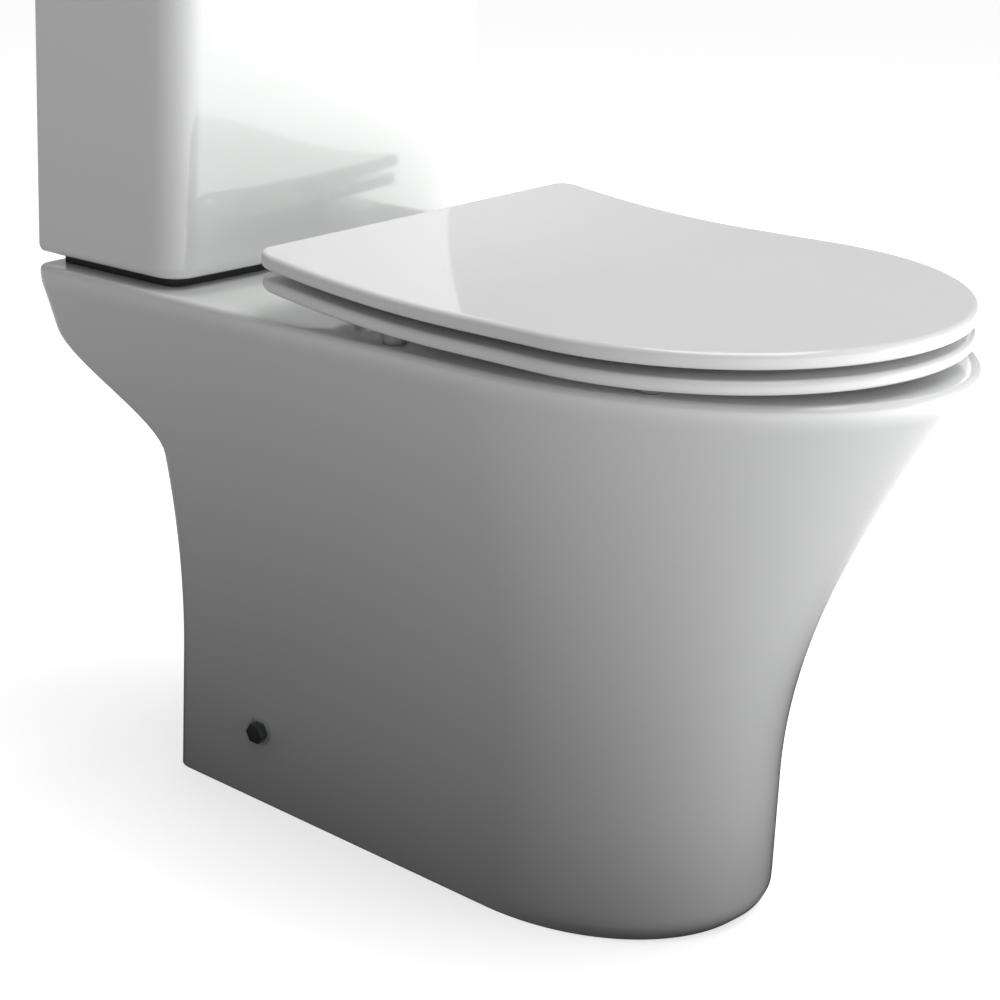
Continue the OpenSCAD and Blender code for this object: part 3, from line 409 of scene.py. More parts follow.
# %% The cistern's body
TANK_BASE = TANK_Z + TANK_FLOOR_T
TANK_LIP, INSIDE_R, INSIDE_UP, TANK_N = 0.002, 0.010, 0.012, 16
VALVE_HOLE_R, SHANK_HOLE_R, COUPLING_HOLE_R = 0.031, 0.01188, 0.010
WALL_HOLE_X, WALL_HOLE_DROP, WALL_HOLE_R = 0.110, 0.062, 0.004
rings = []
for a in quarter(8):
    rings.append(at_height(tank_outline(0, TANK_FOOT_R * (1 - math.sin(a)), 0.0),
                           TANK_Z + TANK_FOOT_R * (1 - math.cos(a))))
for k in range(1, TANK_N + 1):
    z = TANK_Z + TANK_FOOT_R + (TANK_H - TANK_FOOT_R - TANK_LIP) * k / TANK_N
    rings.append(at_height(tank_outline(lean(z), 0.0, 0.0), z))
rings.append(at_height(tank_outline(1, 0.0006, 0.0006), TANK_TOP - 0.0006))
rings.append(at_height(tank_outline(1, TANK_LIP, TANK_LIP), TANK_TOP))
rings.append(at_height(tank_outline(1, TANK_WALL - TANK_LIP, TANK_WALL - TANK_LIP), TANK_TOP))
rings.append(at_height(tank_outline(1, TANK_WALL, TANK_WALL), TANK_TOP - TANK_LIP))
for k in range(1, 9):
    z = TANK_TOP - TANK_LIP - (TANK_TOP - TANK_LIP - TANK_BASE - INSIDE_UP) * k / 8
    rings.append(at_height(tank_outline(lean(z), TANK_WALL, TANK_WALL), z))
for a in quarter(4, 1):
    inset = TANK_WALL + INSIDE_R * (1 - math.cos(a))
    rings.append(at_height(tank_outline(0, inset, inset), TANK_BASE + INSIDE_UP * (1 - math.sin(a))))
bm = bmesh.new()
loft(bm, rings, close_first=True, close_last=True)
tank = finish_mesh(bm, "cistern_glazed")
bores = [rod(spot(0, VALVE_D, TANK_Z - OVER), spot(0, VALVE_D, TANK_BASE + OVER), VALVE_HOLE_R),
         rod(spot(FILL_X, VALVE_D, TANK_Z - OVER), spot(FILL_X, VALVE_D, TANK_BASE + OVER), SHANK_HOLE_R)]
for side in (-1, 1):
    bores.append(rod(spot(side * COUPLING_X, VALVE_D, TANK_Z - OVER),
                     spot(side * COUPLING_X, VALVE_D, TANK_Z + 0.006), COUPLING_HOLE_R))
    bores.append(rod(spot(side * WALL_HOLE_X, -OVER, TANK_TOP - WALL_HOLE_DROP),
                     spot(side * WALL_HOLE_X, 0.02, TANK_TOP - WALL_HOLE_DROP), WALL_HOLE_R))
carve(tank, bores)
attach(tank, "root")
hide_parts("cistern_body")
print("cistern", len(tank.data.polygons), "faces")

# %% The cistern's lid
LID_LOW, LID_HIGH = TANK_TOP, TANK_TOP + TANK_LID_H
ROOF = LID_HIGH - TANK_LID_T
rib_out, rib_in = TANK_WALL + RIB_CLEAR, TANK_WALL + RIB_CLEAR + RIB_T
rib_foot, rib_lean = LID_LOW - RIB_H, lean(TANK_TOP - RIB_H)
SOFT, LID_SOFT = 0.001, 0.0015
rings = [at_height(tank_outline(1, rib_in, rib_in), ROOF),
         at_height(tank_outline(1, rib_in, rib_in), rib_foot + SOFT),
         at_height(tank_outline(rib_lean, rib_in - SOFT, rib_in - SOFT), rib_foot),
         at_height(tank_outline(rib_lean, rib_out + SOFT, rib_out + SOFT), rib_foot),
         at_height(tank_outline(rib_lean, rib_out, rib_out), rib_foot + SOFT),
         at_height(tank_outline(rib_lean, rib_out, rib_out), LID_LOW),
         at_height(tank_outline(1, -LID_OVER + LID_SOFT, 0.0), LID_LOW),
         at_height(tank_outline(1, -LID_OVER, 0.0), LID_LOW + LID_SOFT)]
for a in quarter(8):
    inset = LID_EDGE_R * (1 - math.cos(a))
    rings.append(at_height(tank_outline(1, -LID_OVER + inset, inset / 2),
                           LID_HIGH - LID_EDGE_R * (1 - math.sin(a))))
for inset in (0.008, 0.016, 0.030, 0.050):
    rings.append(at_height(tank_outline(1, inset, inset), LID_HIGH))
bm = bmesh.new()
loft(bm, rings, close_first=True, close_last=True)
tank_lid = finish_mesh(bm, "cistern_lid_glazed")
carve(tank_lid, [rod(spot(0, VALVE_D, TANK_TOP), spot(0, VALVE_D, LID_HIGH + 0.01), 0.022)])
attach(tank_lid, "cistern_cover")
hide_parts("cistern_lid")
print("cistern lid", len(tank_lid.data.polygons), "faces")


# %% [markdown]
# The seat and its lid are thin mouldings that sweep up at the back over the hinges. Their
# outlines are lofted round a rounded edge; then every point is raised by the sweep.

# %% The sweep at the back of the seat
def rise_at(distance):
    return SEAT_RISE * (1 - min(1.0, max(0.0, (distance - SEAT_BACK) / RISE_LEN))) ** 2


def swept(points, z):
    return [spot(x, d, z + rise_at(d)) for x, d in points]


def seat_outline(inset, step=0.0):
    return d_outline(SEAT_W / 2 - inset, SEAT_BACK + step + inset, SEAT_FRONT - inset,
                     SEAT_NOSE - inset, max(SEAT_CORNER_R - inset, 0.001))


def rounded(radius, steps, upwards):
    """(inset, height) pairs of a quarter round: out to the side, or in to the top."""
    pairs = []
    for a in quarter(steps):
        pairs.append((radius * (1 - math.sin(a)), radius * (1 - math.cos(a))) if upwards
                     else (radius * (1 - math.cos(a)), -radius * (1 - math.sin(a))))
    return pairs


# %% The lid
LID_TOP_R, LID_LOW_R = 0.0038, 0.0025
rings = [swept(seat_outline(inset), LID_Z) for inset in (0.150, 0.12, 0.09, 0.06, 0.03, 0.012)]
rings += [swept(seat_outline(inset), LID_Z + up) for inset, up in rounded(LID_LOW_R, 5, True)]
rings += [swept(seat_outline(inset), LID_Z + LID_T + down)
          for inset, down in rounded(LID_TOP_R, 7, False)]
rings += [swept(seat_outline(LID_TOP_R + 0.001 + 0.160 * (k / 30) ** 1.15), LID_Z + LID_T)
          for k in range(0, 31)]
bm = bmesh.new()
loft(bm, rings, close_first=True, close_last=True)
lid = finish_mesh(bm, "lid_moulded", crease=50)
BARREL_R, KNUCKLE_W, POST_W, PLAY, PIN_R = 0.010, 0.013, 0.018, 0.0005, 0.003
DAMPER_R, PIN_CLEAR, KNUCKLE_WALL = 0.007, 0.00005, 0.002
STEM_R, STEM_UP, STEM_OVER = 0.005, 0.004, 0.002
hinge_y = row_y(HINGE_D)
hinge_z = SEAT_Z + SEAT_T + (LID_Z - SEAT_Z - SEAT_T) / 2 + rise_at(HINGE_D)
inner = HINGE_X - POST_W / 2 - PLAY - KNUCKLE_W
outer = HINGE_X + POST_W / 2 + PLAY


def across(side, x0, x1, radius, name="rod"):
    """A rod along the hinge axis between two distances from the middle."""
    return rod((side * x0, hinge_y, hinge_z), (side * x1, hinge_y, hinge_z), radius, name)


carve(lid, [across(s, inner, inner + KNUCKLE_W, BARREL_R) for s in (-1, 1)], operation="UNION")
cuts = []
for s in (-1, 1):
    cuts += [across(s, inner + KNUCKLE_W, outer + KNUCKLE_W + 2 * PLAY, BARREL_R + PLAY),
             across(s, inner + KNUCKLE_WALL, inner + KNUCKLE_W + 0.001, PIN_R + PIN_CLEAR),
             across(s, inner + KNUCKLE_WALL, inner + KNUCKLE_W - KNUCKLE_WALL, DAMPER_R)]
LID_BUMPERS = [(0.146, 0.330), (0.110, 0.512)]
cuts += [rod(spot(s * x, d, LID_Z - STEM_OVER), spot(s * x, d, LID_Z + STEM_UP), STEM_R)
         for x, d in LID_BUMPERS for s in (-1, 1)]
carve(lid, cuts, crease=50)
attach(lid, "lid")
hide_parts("seat_lid")
print("lid", len(lid.data.polygons), "faces")

# %% The seat ring
RING_TOP_R, RING_LOW_R = 0.0035, 0.003
RING_SHARES = (0.0, 0.08, 0.16, 0.24, 0.32, 0.4, 0.5, 0.6, 0.7, 0.8, 0.9, 1.0)
hole_mid = SEAT_FRONT - RING_FRONT - RING_HOLE_L / 2
hole_across, hole_along = SEAT_W / 2 - RING_SIDE, RING_HOLE_L / 2
HOLE_ANGLES = [math.atan2((d - hole_mid) / hole_along, x / hole_across)
               for x, d in seat_outline(0.0, RING_STEP)]


def seat_hole(grow):
    return [((hole_across + grow) * math.cos(a), hole_mid + (hole_along + grow) * math.sin(a))
            for a in HOLE_ANGLES]


def between(share):
    return [(xo + (xi - xo) * share, do + (di - do) * share) for (xo, do), (xi, di)
            in zip(seat_outline(RING_LOW_R + 0.001, RING_STEP), seat_hole(RING_LOW_R + 0.001))]


rings = [swept(seat_outline(inset, RING_STEP), SEAT_Z + up) for inset, up in rounded(RING_LOW_R, 5, True)]
rings += [swept(seat_outline(inset, RING_STEP), SEAT_Z + SEAT_T + down)
          for inset, down in rounded(RING_TOP_R, 6, False)]
rings += [swept(between(share), SEAT_Z + SEAT_T) for share in RING_SHARES]
rings += [swept(seat_hole(grow), SEAT_Z + SEAT_T + down)
          for grow, down in reversed(rounded(RING_TOP_R, 6, False))]
rings += [swept(seat_hole(grow), SEAT_Z + up) for grow, up in reversed(rounded(RING_LOW_R, 5, True))]
rings += [swept(between(share), SEAT_Z) for share in reversed(RING_SHARES)]
rings.append(rings[0])
bm = bmesh.new()
loft(bm, rings)
ring = finish_mesh(bm, "seat_ring_moulded", crease=50)
carve(ring, [across(s, outer, outer + KNUCKLE_W, BARREL_R) for s in (-1, 1)], operation="UNION")
NOTCH_D = 0.004 + BARREL_R + 0.009
cuts = []
for s in (-1, 1):
    low_x, high_x = sorted((s * (inner - 0.002), s * outer))
    cuts += [block((low_x, row_y(SEAT_BACK + NOTCH_D), RIM_H), (high_x, row_y(SEAT_BACK) + 0.002, 0.48)),
             across(s, outer - 0.002, outer + KNUCKLE_W - KNUCKLE_WALL, PIN_R + PIN_CLEAR),
             across(s, outer + KNUCKLE_WALL, outer + KNUCKLE_W - KNUCKLE_WALL, DAMPER_R)]
SEAT_BUMPERS = [(0.167, 0.337), (0.143, 0.512)]
cuts += [rod(spot(s * x, d, SEAT_Z - STEM_OVER), spot(s * x, d, SEAT_Z + STEM_UP), STEM_R)
         for x, d in SEAT_BUMPERS for s in (-1, 1)]
carve(ring, cuts, crease=50)
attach(ring, "seat")
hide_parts("seat_ring")
print("seat ring", len(ring.data.polygons), "faces")


# %% [markdown]
# The side screws of the pedestal wear a dark six-sided cap with softened edges. It is a short
# prism from the cone operator, and the bevel operator rounds all its edges at once.

# %% The screw caps
def bevelled(bm, width, segments=3, angle=25.0):
    """Rounds every edge sharper than the angle."""
    sharp = [e for e in bm.edges if len(e.link_faces) == 2 and e.calc_face_angle() > math.radians(angle)]
    bmesh.ops.bevel(bm, geom=sharp, offset=width, affect="EDGES", segments=segments, profile=0.5,
                    material=-1)


def turned(profile, centre, name, sides=72, axis=(0, 0, 1), crease=32.0):
    """A turned piece: a profile of (radius, height) pairs is spun once round the axis."""
    bm = bmesh.new()
    points = [bm.verts.new((r, 0.0, h)) for r, h in profile]
    edges = [bm.edges.new(pair) for pair in zip(points, points[1:])]
    bmesh.ops.spin(bm, geom=points + edges, angle=2 * math.pi, steps=sides, use_merge=True,
                   axis=(0, 0, 1), cent=(0, 0, 0), use_duplicate=False)
    turn = Vector(axis).to_track_quat("Z", "Y").to_matrix().to_4x4()
    bmesh.ops.transform(bm, verts=bm.verts, matrix=Matrix.Translation(centre) @ turn)
    return finish_mesh(bm, name, crease)


def together(pieces, name):
    """Joins several meshes that never move apart into one object."""
    bm = bmesh.new()
    for part in pieces:
        bm.from_mesh(part.data)
        bpy.data.objects.remove(part)
    mesh = bpy.data.meshes.new(name)
    bm.to_mesh(mesh)
    bm.free()
    piece = bpy.data.objects.new(name, mesh)
    scene.collection.objects.link(piece)
    return piece


CAP_R, CAP_H, CAP_EDGE, CAP_BORE_R, CAP_BORE_H = 0.0086, 0.0075, 0.0012, 0.0056, 0.0042
caps = []
for side in (-1, 1):
    bm = bmesh.new()
    turn = Matrix.Rotation(side * math.pi / 2, 4, "Y")
    base = spot(side * (PEDESTAL_W / 2 + 0.0005), SCREW_D, SCREW_H)
    middle = Matrix.Translation(base + Vector((side * CAP_H / 2, 0, 0)))
    bmesh.ops.create_cone(bm, cap_ends=True, segments=6, radius1=CAP_R, radius2=CAP_R, depth=CAP_H,
                          matrix=middle @ turn)
    bevelled(bm, CAP_EDGE, 4)
    cap = finish_mesh(bm, "cap", crease=40)
    outwards = Vector((side, 0, 0))
    carve(cap, [rod(base - outwards * 0.001, base + outwards * CAP_BORE_H, CAP_BORE_R)], 40)
    caps.append(cap)
screw_caps = together(caps, "screw_caps_moulded")
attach(screw_caps, "root")
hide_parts("side_screw_caps")


# %% [markdown]
# The chrome hinge posts show under the back of the seat: a round foot on the pan, a column and
# a barrel that takes the pin. The button housing and its two buttons are chromed too.

# %% The hinge posts
posts = []
POST_FOOT_R, POST_BORE_R, POST_EDGE = 0.017, 0.0039, 0.0012
for side in (-1, 1):
    foot = turned([(0, 0), (POST_FOOT_R - 0.0004, 0), (POST_FOOT_R, 0.0004), (POST_FOOT_R, 0.0028),
                   (POST_FOOT_R - 0.0004, 0.0036), (POST_FOOT_R - 0.0014, 0.004), (0, 0.004)],
                  spot(side * HINGE_X, HINGE_D + POST_IN, RIM_H), "foot")
    bm = bmesh.new()
    low = Vector((side * HINGE_X - POST_W / 2, hinge_y - 0.013, RIM_H + 0.002))
    high = Vector((side * HINGE_X + POST_W / 2, hinge_y - 0.001, hinge_z))
    bmesh.ops.create_cube(bm, size=1.0, matrix=Matrix.Translation((low + high) / 2)
                          @ Matrix.Diagonal((*(high - low), 1.0)))
    bevelled(bm, POST_EDGE, 3)
    column = finish_mesh(bm, "column")
    end = POST_W / 2
    barrel = turned([(0, -end), (BARREL_R - 0.0008, -end), (BARREL_R - 0.0002, -end + 0.0003),
                     (BARREL_R, -end + 0.001), (BARREL_R, end - 0.001),
                     (BARREL_R - 0.0002, end - 0.0003), (BARREL_R - 0.0008, end), (0, end)],
                    Vector((side * HINGE_X, hinge_y, hinge_z)), "barrel", axis=(1, 0, 0))
    carve(column, [foot, barrel], operation="UNION")
    carve(column, [across(side, HINGE_X - POST_W, HINGE_X + POST_W, PIN_R),
                   rod(spot(side * HINGE_X, HINGE_D + POST_IN, RIM_H - 0.002),
                       spot(side * HINGE_X, HINGE_D + POST_IN, RIM_H + 0.014), POST_BORE_R)])
    posts.append(column)
hinge_posts = together(posts, "hinge_posts_chromed")
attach(hinge_posts, "root")
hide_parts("hinge_posts")
print("hinge posts", len(hinge_posts.data.polygons), "faces")

# %% The flush button's housing
button_place = spot(0, VALVE_D, LID_HIGH)
BEZEL_R, BUTTON_R, HOUSING_R, ROD_X, ROD_HOLE_R = 0.027, 0.019, 0.0215, 0.011, 0.003
HOUSING_H, HOUSING_FLOOR, BUTTON_PLAY = 0.026, 0.023, 0.00025
housing = turned([(0, -HOUSING_H), (HOUSING_R, -HOUSING_H), (HOUSING_R, 0), (BEZEL_R - 0.0003, 0),
                  (BEZEL_R, 0.0003), (BEZEL_R, 0.0012), (BEZEL_R - 0.0006, 0.0022),
                  (BEZEL_R - 0.002, 0.0028),
                  (BEZEL_R - 0.004, 0.003), (BUTTON_R + 0.002, 0.003), (BUTTON_R + 0.0008, 0.0027),
                  (BUTTON_R + BUTTON_PLAY, 0.0018), (BUTTON_R + BUTTON_PLAY, -HOUSING_FLOOR),
                  (0, -HOUSING_FLOOR)],
                 button_place, "button_housing_chromed", sides=96)
rod_tops = [button_place + Vector((s * ROD_X, 0, -0.016)) for s in (-1, 1)]
carve(housing, [rod(top - Vector((0, 0, 0.014)), top, ROD_HOLE_R) for top in rod_tops])
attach(housing, "cistern_cover")
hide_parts("button_housing")

# %% The two buttons
SPLIT_X, SPLIT, BUTTON_LOW, BUTTON_H, BUTTON_EDGE = -0.004, 0.0012, -0.006, 0.008, 0.0007
BUTTONS = ((1, "full_flush_button", "full_button"), (-1, "half_flush_button", "half_button"))
for side, node, body in BUTTONS:
    bm = bmesh.new()
    middle = Matrix.Translation(button_place + Vector((0, 0, BUTTON_LOW + BUTTON_H / 2)))
    bmesh.ops.create_cone(bm, cap_ends=True, segments=128, radius1=BUTTON_R, radius2=BUTTON_R,
                          depth=BUTTON_H, matrix=middle)
    everything = list(bm.verts) + list(bm.edges) + list(bm.faces)
    cut = bmesh.ops.bisect_plane(bm, geom=everything, plane_co=(SPLIT_X + side * SPLIT / 2, 0, 0),
                                 plane_no=(-side, 0, 0), clear_outer=True)["geom_cut"]
    bmesh.ops.contextual_create(bm, geom=[g for g in cut if isinstance(g, bmesh.types.BMEdge)])
    bevelled(bm, BUTTON_EDGE, 3, angle=50)
    button = finish_mesh(bm, node + "_chromed", crease=40)
    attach(button, body)
    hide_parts(node)
print("buttons at", tuple(round(v, 4) for v in button_place))


# %% [markdown]
# Three small effects are shared by all the finishes: the long soft waves of a glaze or a moulding,
# the faint handling marks that change how sharp a reflection is, and a slight drift of tone.
# Each is a node group that reads the piece's own coordinates, and each material sets its values.

# %% Shared effects
def new_group(name, inputs, outputs):
    """An empty node group with named sockets; returns the group and its input and output nodes."""
    group = bpy.data.node_groups.new(name, "ShaderNodeTree")
    for socket, kind, value in inputs:
        made = group.interface.new_socket(socket, in_out="INPUT", socket_type="NodeSocket" + kind)
        if value is not None:
            made.default_value = value
    for socket, kind in outputs:
        group.interface.new_socket(socket, in_out="OUTPUT", socket_type="NodeSocket" + kind)
    return group, group.nodes.new("NodeGroupInput"), group.nodes.new("NodeGroupOutput")


def noise_in(group, place, scale, detail=2.0):
    """A noise texture fed with a place and a scale socket."""
    noise = group.nodes.new("ShaderNodeTexNoise")
    noise.inputs["Detail"].default_value = detail
    group.links.new(place, noise.inputs["Vector"])
    group.links.new(scale, noise.inputs["Scale"])
    return noise


def surface_waves():
    group, given, out = new_group("surface_waves", [("Place", "Vector", None), ("Scale", "Float", 9.0),
                                                    ("Fine Share", "Float", 0.2)], [("Height", "Float")])
    coarse = noise_in(group, given.outputs["Place"], given.outputs["Scale"], 1.0)
    finer = group.nodes.new("ShaderNodeMath")
    finer.operation, finer.inputs[1].default_value = "MULTIPLY", 9.0
    group.links.new(given.outputs["Scale"], finer.inputs[0])
    fine = noise_in(group, given.outputs["Place"], finer.outputs[0], 2.0)
    blend = group.nodes.new("ShaderNodeMix")
    group.links.new(given.outputs["Fine Share"], blend.inputs[0])
    group.links.new(coarse.outputs["Fac"], blend.inputs[2])
    group.links.new(fine.outputs["Fac"], blend.inputs[3])
    group.links.new(blend.outputs[0], out.inputs["Height"])
    return group


def handling_marks():
    sockets = [("Place", "Vector", None), ("Scale", "Float", 22.0), ("Smoothest", "Float", 0.1),
               ("Roughest", "Float", 0.2)]
    group, given, out = new_group("handling_marks", sockets, [("Roughness", "Float")])
    noise = noise_in(group, given.outputs["Place"], given.outputs["Scale"], 5.0)
    spread = group.nodes.new("ShaderNodeMapRange")
    spread.inputs["From Min"].default_value, spread.inputs["From Max"].default_value = 0.35, 0.7
    group.links.new(noise.outputs["Fac"], spread.inputs["Value"])
    group.links.new(given.outputs["Smoothest"], spread.inputs["To Min"])
    group.links.new(given.outputs["Roughest"], spread.inputs["To Max"])
    group.links.new(spread.outputs["Result"], out.inputs["Roughness"])
    return group


def tone_drift():
    group, given, out = new_group("tone_drift", [("Place", "Vector", None), ("Scale", "Float", 5.0),
                                                 ("Tone", "Color", None), ("Other Tone", "Color", None)],
                                  [("Color", "Color")])
    noise = noise_in(group, given.outputs["Place"], given.outputs["Scale"], 3.0)
    blend = group.nodes.new("ShaderNodeMix")
    blend.data_type = "RGBA"
    group.links.new(noise.outputs["Fac"], blend.inputs[0])
    group.links.new(given.outputs["Tone"], blend.inputs[6])
    group.links.new(given.outputs["Other Tone"], blend.inputs[7])
    group.links.new(blend.outputs[2], out.inputs["Color"])
    return group


WAVES, MARKS, DRIFT = surface_waves(), handling_marks(), tone_drift()
print("groups", [g.name for g in (WAVES, MARKS, DRIFT)])


# %% [markdown]
# Every finish is a Principled shader with these effects: a glaze is glass over white clay, so it
# has a clear coat; the seat is gloss moulded plastic; chrome and zinc are metals; rubber and the
# valve plastics are nearly dull.

# %% Finishes
def finish(name, tone, other, rough, marks=22.0, metal=0.0, coat=0.0, waves=9.0, fine=0.2,
           bump=0.02, depth=0.002):
    """A material from a pair of tones, a pair of roughness values and a bump."""
    material = bpy.data.materials.new(name)
    material.use_nodes = True
    nodes, links = material.node_tree.nodes, material.node_tree.links
    shader = nodes["Principled BSDF"]
    shader.inputs["Metallic"].default_value = metal
    shader.inputs["Coat Weight"].default_value = coat
    shader.inputs["Coat Roughness"].default_value = 0.03
    place = nodes.new("ShaderNodeTexCoord").outputs["Object"]

    def effect(group, **values):
        node = nodes.new("ShaderNodeGroup")
        node.node_tree = group
        links.new(place, node.inputs["Place"])
        for socket, value in values.items():
            node.inputs[socket.replace("_", " ")].default_value = value
        return node

    drift = effect(DRIFT, Scale=5.0, Tone=(*tone, 1), Other_Tone=(*other, 1))
    links.new(drift.outputs["Color"], shader.inputs["Base Color"])
    worn = effect(MARKS, Scale=marks, Smoothest=rough[0], Roughest=rough[1])
    links.new(worn.outputs["Roughness"], shader.inputs["Roughness"])
    wave = effect(WAVES, Scale=waves, Fine_Share=fine)
    raised = nodes.new("ShaderNodeBump")
    raised.inputs["Strength"].default_value = bump
    raised.inputs["Distance"].default_value = depth
    links.new(wave.outputs["Height"], raised.inputs["Height"])
    links.new(raised.outputs["Normal"], shader.inputs["Normal"])
    return material


FINISHES = {
    "glazed_ceramic": finish("white_glaze", (0.80, 0.815, 0.80), (0.78, 0.795, 0.785), (0.10, 0.15),
                             coat=0.6, waves=7.0, fine=0.06, bump=0.10, depth=0.003),
    "seat_plastic": finish("gloss_seat_plastic", (0.80, 0.80, 0.80), (0.785, 0.785, 0.785), (0.07, 0.12),
                           coat=0.3, waves=5.0, fine=0.03, bump=0.05, depth=0.002),
    "chrome": finish("polished_chrome", (0.80, 0.81, 0.82), (0.76, 0.77, 0.785), (0.04, 0.13), marks=60.0,
                     metal=1.0, waves=20.0, bump=0.02),
    "rubber": finish("black_rubber", (0.035, 0.036, 0.038), (0.05, 0.05, 0.052), (0.55, 0.75),
                     waves=160.0, fine=0.5, bump=0.15, depth=0.0006),
    "white_buffer": finish("grey_buffer", (0.30, 0.31, 0.31), (0.36, 0.37, 0.37), (0.4, 0.55),
                           waves=120.0, bump=0.1, depth=0.0005),
    "steel": finish("zinc_plated_steel", (0.62, 0.63, 0.65), (0.50, 0.52, 0.54), (0.25, 0.42), marks=90.0,
                    metal=1.0, waves=140.0, fine=0.5, bump=0.12, depth=0.0005),
    "brass": finish("turned_brass", (0.62, 0.46, 0.22), (0.52, 0.37, 0.17), (0.22, 0.38), marks=80.0,
                    metal=1.0, waves=120.0, fine=0.4, bump=0.1, depth=0.0005),
    "valve_plastic": finish("grey_valve_plastic", (0.62, 0.64, 0.65), (0.57, 0.59, 0.60), (0.32, 0.45),
                            waves=150.0, fine=0.5, bump=0.08, depth=0.0005),
    "blue_plastic": finish("blue_valve_plastic", (0.10, 0.24, 0.42), (0.085, 0.21, 0.38), (0.30, 0.42),
                           waves=150.0, fine=0.5, bump=0.08, depth=0.0005),
    "cap_plastic": finish("dark_cap_plastic", (0.055, 0.060, 0.058), (0.065, 0.07, 0.068), (0.24, 0.36),
                          waves=150.0, fine=0.4, bump=0.06, depth=0.0004),
}

# %% [markdown]
# The clay of the foot ring is left bare so that the pan doesn't stick to the kiln shelf.
# A mask on the height above the floor makes the lowest millimetre dull and a little warmer.

# %% Bare clay under the pan
def bare_foot(material, height=0.0012):
    nodes, links = material.node_tree.nodes, material.node_tree.links
    shader = nodes["Principled BSDF"]
    apart = nodes.new("ShaderNodeSeparateXYZ")
    links.new(nodes.new("ShaderNodeTexCoord").outputs["Object"], apart.inputs[0])
    mask = nodes.new("ShaderNodeMath")
    mask.operation, mask.inputs[1].default_value = "LESS_THAN", height
    links.new(apart.outputs["Z"], mask.inputs[0])
    for socket, bare in (("Base Color", (0.66, 0.60, 0.52, 1)), ("Roughness", 0.85)):
        source = shader.inputs[socket].links[0].from_socket
        blend = nodes.new("ShaderNodeMix")
        colour = socket == "Base Color"
        blend.data_type = "RGBA" if colour else "FLOAT"
        first, second, result = (6, 7, 2) if colour else (2, 3, 0)
        links.new(mask.outputs[0], blend.inputs[0])
        links.new(source, blend.inputs[first])
        blend.inputs[second].default_value = bare
        links.new(blend.outputs[result], shader.inputs[socket])


bare_foot(FINISHES["glazed_ceramic"])

# %% [markdown]
# The small fittings keep their CAD meshes. A Weld modifier joins their triangles, and a narrow
# Bevel catches the light on their edges as a moulded or machined edge does.

# %% Finishes on the pieces
slots = {row["node"]: row["material_slot"] for row in record["subparts"]}
replaced = {"pan": pan_skin, "cistern_body": tank, "cistern_lid": tank_lid, "seat_lid": lid,
            "seat_ring": ring, "side_screw_caps": screw_caps, "hinge_posts": hinge_posts,
            "button_housing": housing}
for _, node, _ in BUTTONS:
    replaced[node] = bpy.data.objects[node + "_chromed"]


def dress(piece, slot):
    piece.data.materials.clear()
    piece.data.materials.append(FINISHES[slot])


WELD_GAP, EDGE_W = 0.00002, 0.0004
for node, part in frame["nodes"].items():
    if node in replaced:
        dress(replaced[node], slots[node])
        continue
    dress(part, slots[node])
    weld = part.modifiers.new("weld", "WELD")
    weld.merge_threshold = WELD_GAP
    edge = part.modifiers.new("edge", "BEVEL")
    edge.width, edge.segments, edge.limit_method = EDGE_W, 2, "ANGLE"
    edge.angle_limit, edge.harden_normals = math.radians(40), True
print("dressed", len(frame["nodes"]), "pieces")

# %% [markdown]
# The studio: a plain pale floor, a large light overhead and a lower, softer one at the front
# right. Most of the light on the upright sides comes off the far floor, which is bright at the
# front right and dim elsewhere, so that the left side of the pan falls into shade.

# %% The floor and the world
# Pairs of a direction, from 0 at the back left to 1 at the front right, and a share of the gain.
FLOOR_LOBES = [(0.0, 0.18), (0.2, 0.28), (0.42, 0.42), (0.62, 0.62), (0.9, 1.0)]
FLOOR_GAIN, DARK_TO, BRIGHT_FROM = 3.0, 0.40, 1.15


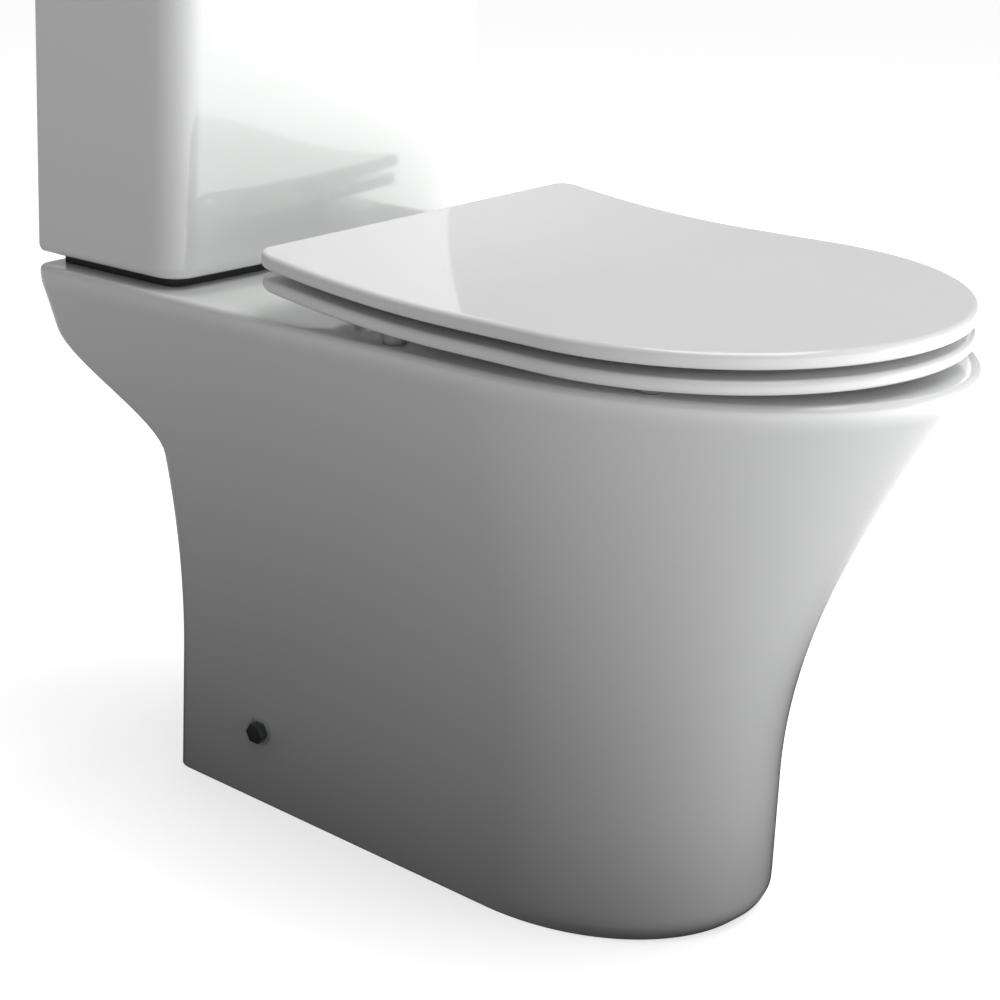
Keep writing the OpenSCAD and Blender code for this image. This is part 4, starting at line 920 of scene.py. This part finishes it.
def pale_floor():
    """White to the camera. What it sends to the object is dark close by and bright further off."""
    material = bpy.data.materials.new("pale_floor")
    material.use_nodes = True
    nodes, links = material.node_tree.nodes, material.node_tree.links
    shader = nodes["Principled BSDF"]
    shader.inputs["Roughness"].default_value = 0.9
    shader.inputs["Base Color"].default_value = (0.90, 0.90, 0.90, 1)
    glow = nodes.new("ShaderNodeEmission")
    glow.inputs["Strength"].default_value = 0.62
    lit = nodes.new("ShaderNodeAddShader")
    place = nodes.new("ShaderNodeTexCoord").outputs["Object"]
    reach = nodes.new("ShaderNodeVectorMath")
    reach.operation = "LENGTH"
    links.new(place, reach.inputs[0])
    far = nodes.new("ShaderNodeMapRange")
    far.inputs["From Min"].default_value, far.inputs["From Max"].default_value = DARK_TO, BRIGHT_FROM
    links.new(reach.outputs["Value"], far.inputs["Value"])
    heading = nodes.new("ShaderNodeVectorMath")
    heading.operation = "NORMALIZE"
    links.new(place, heading.inputs[0])
    side = nodes.new("ShaderNodeVectorMath")
    side.operation = "DOT_PRODUCT"
    side.inputs[1].default_value = Vector((0.8, -0.6, 0))
    links.new(heading.outputs[0], side.inputs[0])
    across = nodes.new("ShaderNodeMapRange")
    across.inputs["From Min"].default_value = -1.0
    links.new(side.outputs["Value"], across.inputs["Value"])
    lobes = nodes.new("ShaderNodeValToRGB")
    ramp = lobes.color_ramp
    ramp.interpolation = "EASE"
    ramp.elements[0].position, ramp.elements[1].position = FLOOR_LOBES[0][0], FLOOR_LOBES[-1][0]
    for position, strength in FLOOR_LOBES[1:-1]:
        ramp.elements.new(position)
    for stop, (position, strength) in zip(ramp.elements, FLOOR_LOBES):
        stop.color = (strength, strength, strength, 1)
    links.new(across.outputs["Result"], lobes.inputs["Fac"])
    bounce = nodes.new("ShaderNodeMath")
    bounce.operation = "MULTIPLY"
    links.new(far.outputs["Result"], bounce.inputs[0])
    links.new(lobes.outputs["Color"], bounce.inputs[1])
    gain = nodes.new("ShaderNodeMath")
    gain.operation = "MULTIPLY"
    gain.inputs[1].default_value = FLOOR_GAIN
    links.new(bounce.outputs[0], gain.inputs[0])
    sent = nodes.new("ShaderNodeEmission")
    links.new(gain.outputs[0], sent.inputs["Strength"])
    seen = nodes.new("ShaderNodeLightPath")
    pick = nodes.new("ShaderNodeMixShader")
    links.new(shader.outputs[0], lit.inputs[0])
    links.new(glow.outputs[0], lit.inputs[1])
    links.new(seen.outputs["Is Camera Ray"], pick.inputs[0])
    links.new(sent.outputs[0], pick.inputs[1])
    links.new(lit.outputs[0], pick.inputs[2])
    links.new(pick.outputs[0], nodes["Material Output"].inputs["Surface"])
    return material


bm = bmesh.new()
bmesh.ops.create_grid(bm, x_segments=1, y_segments=1, size=14.0)
floor = finish_mesh(bm, "floor")
floor.data.materials.append(pale_floor())

world = bpy.data.worlds.new("studio")
scene.world = world
world.use_nodes = True
nodes, links = world.node_tree.nodes, world.node_tree.links
direction = nodes.new("ShaderNodeTexCoord")
towards = nodes.new("ShaderNodeVectorMath")
towards.operation = "DOT_PRODUCT"
towards.inputs[1].default_value = Vector((0.85, -0.45, 0.28)).normalized()
links.new(direction.outputs["Generated"], towards.inputs[0])
level = nodes.new("ShaderNodeMapRange")
level.inputs["From Min"].default_value, level.inputs["From Max"].default_value = -0.9, 1.0
level.inputs["To Min"].default_value, level.inputs["To Max"].default_value = 0.08, 0.58
links.new(towards.outputs["Value"], level.inputs["Value"])
seen = nodes.new("ShaderNodeLightPath")
pick = nodes.new("ShaderNodeMix")
links.new(seen.outputs["Is Camera Ray"], pick.inputs[0])
links.new(level.outputs["Result"], pick.inputs[2])
pick.inputs[3].default_value = 1.0
links.new(pick.outputs[0], nodes["Background"].inputs["Strength"])
nodes["Background"].inputs["Color"].default_value = (1, 1, 1, 1)


# %% The lights
def soft_light(name, place, aim, width, height, power):
    light = bpy.data.lights.new(name, "AREA")
    light.shape, light.size, light.size_y, light.energy = "RECTANGLE", width, height, power
    lamp = bpy.data.objects.new(name, light)
    lamp.location = place
    lamp.rotation_mode = "QUATERNION"
    lamp.rotation_quaternion = (Vector(aim) - Vector(place)).to_track_quat("-Z", "Y")
    scene.collection.objects.link(lamp)
    return lamp


soft_light("key", (1.9, -2.3, 0.7), (0.0, -0.1, 0.3), 1.8, 1.0, 12)
soft_light("overhead", (0.4, -0.5, 2.9), (0.0, -0.1, 0.3), 2.2, 1.6, 42)

# %% [markdown]
# The camera looks from the front left and from above the seat, with a long lens. The object
# isn't in the middle of the view, so the lens is shifted instead of turned.

# %% The camera
AZIMUTH, ELEVATION, REACH = math.radians(-43.53), math.radians(13.62), 2.26433
FOCAL, CENTRE_X, CENTRE_Y = 2.03884, 0.10586, 0.28838
back = Vector((math.sin(AZIMUTH) * math.cos(ELEVATION), -math.cos(AZIMUTH) * math.cos(ELEVATION),
               math.sin(ELEVATION)))
target = Vector((0.32656, 0.4562 + OVERALL_D / 2, 0.220))
camera = bpy.data.objects.new("camera", bpy.data.cameras.new("camera"))
camera.data.sensor_width = 36.0
camera.data.lens = 36.0 * FOCAL
camera.data.shift_x, camera.data.shift_y = 0.5 - CENTRE_X, CENTRE_Y - 0.5
camera.location = target + back * REACH
camera.rotation_mode = "QUATERNION"
camera.rotation_quaternion = (-back).to_track_quat("-Z", "Y")
scene.collection.objects.link(camera)
scene.camera = camera
scene.view_settings.view_transform = "Standard"
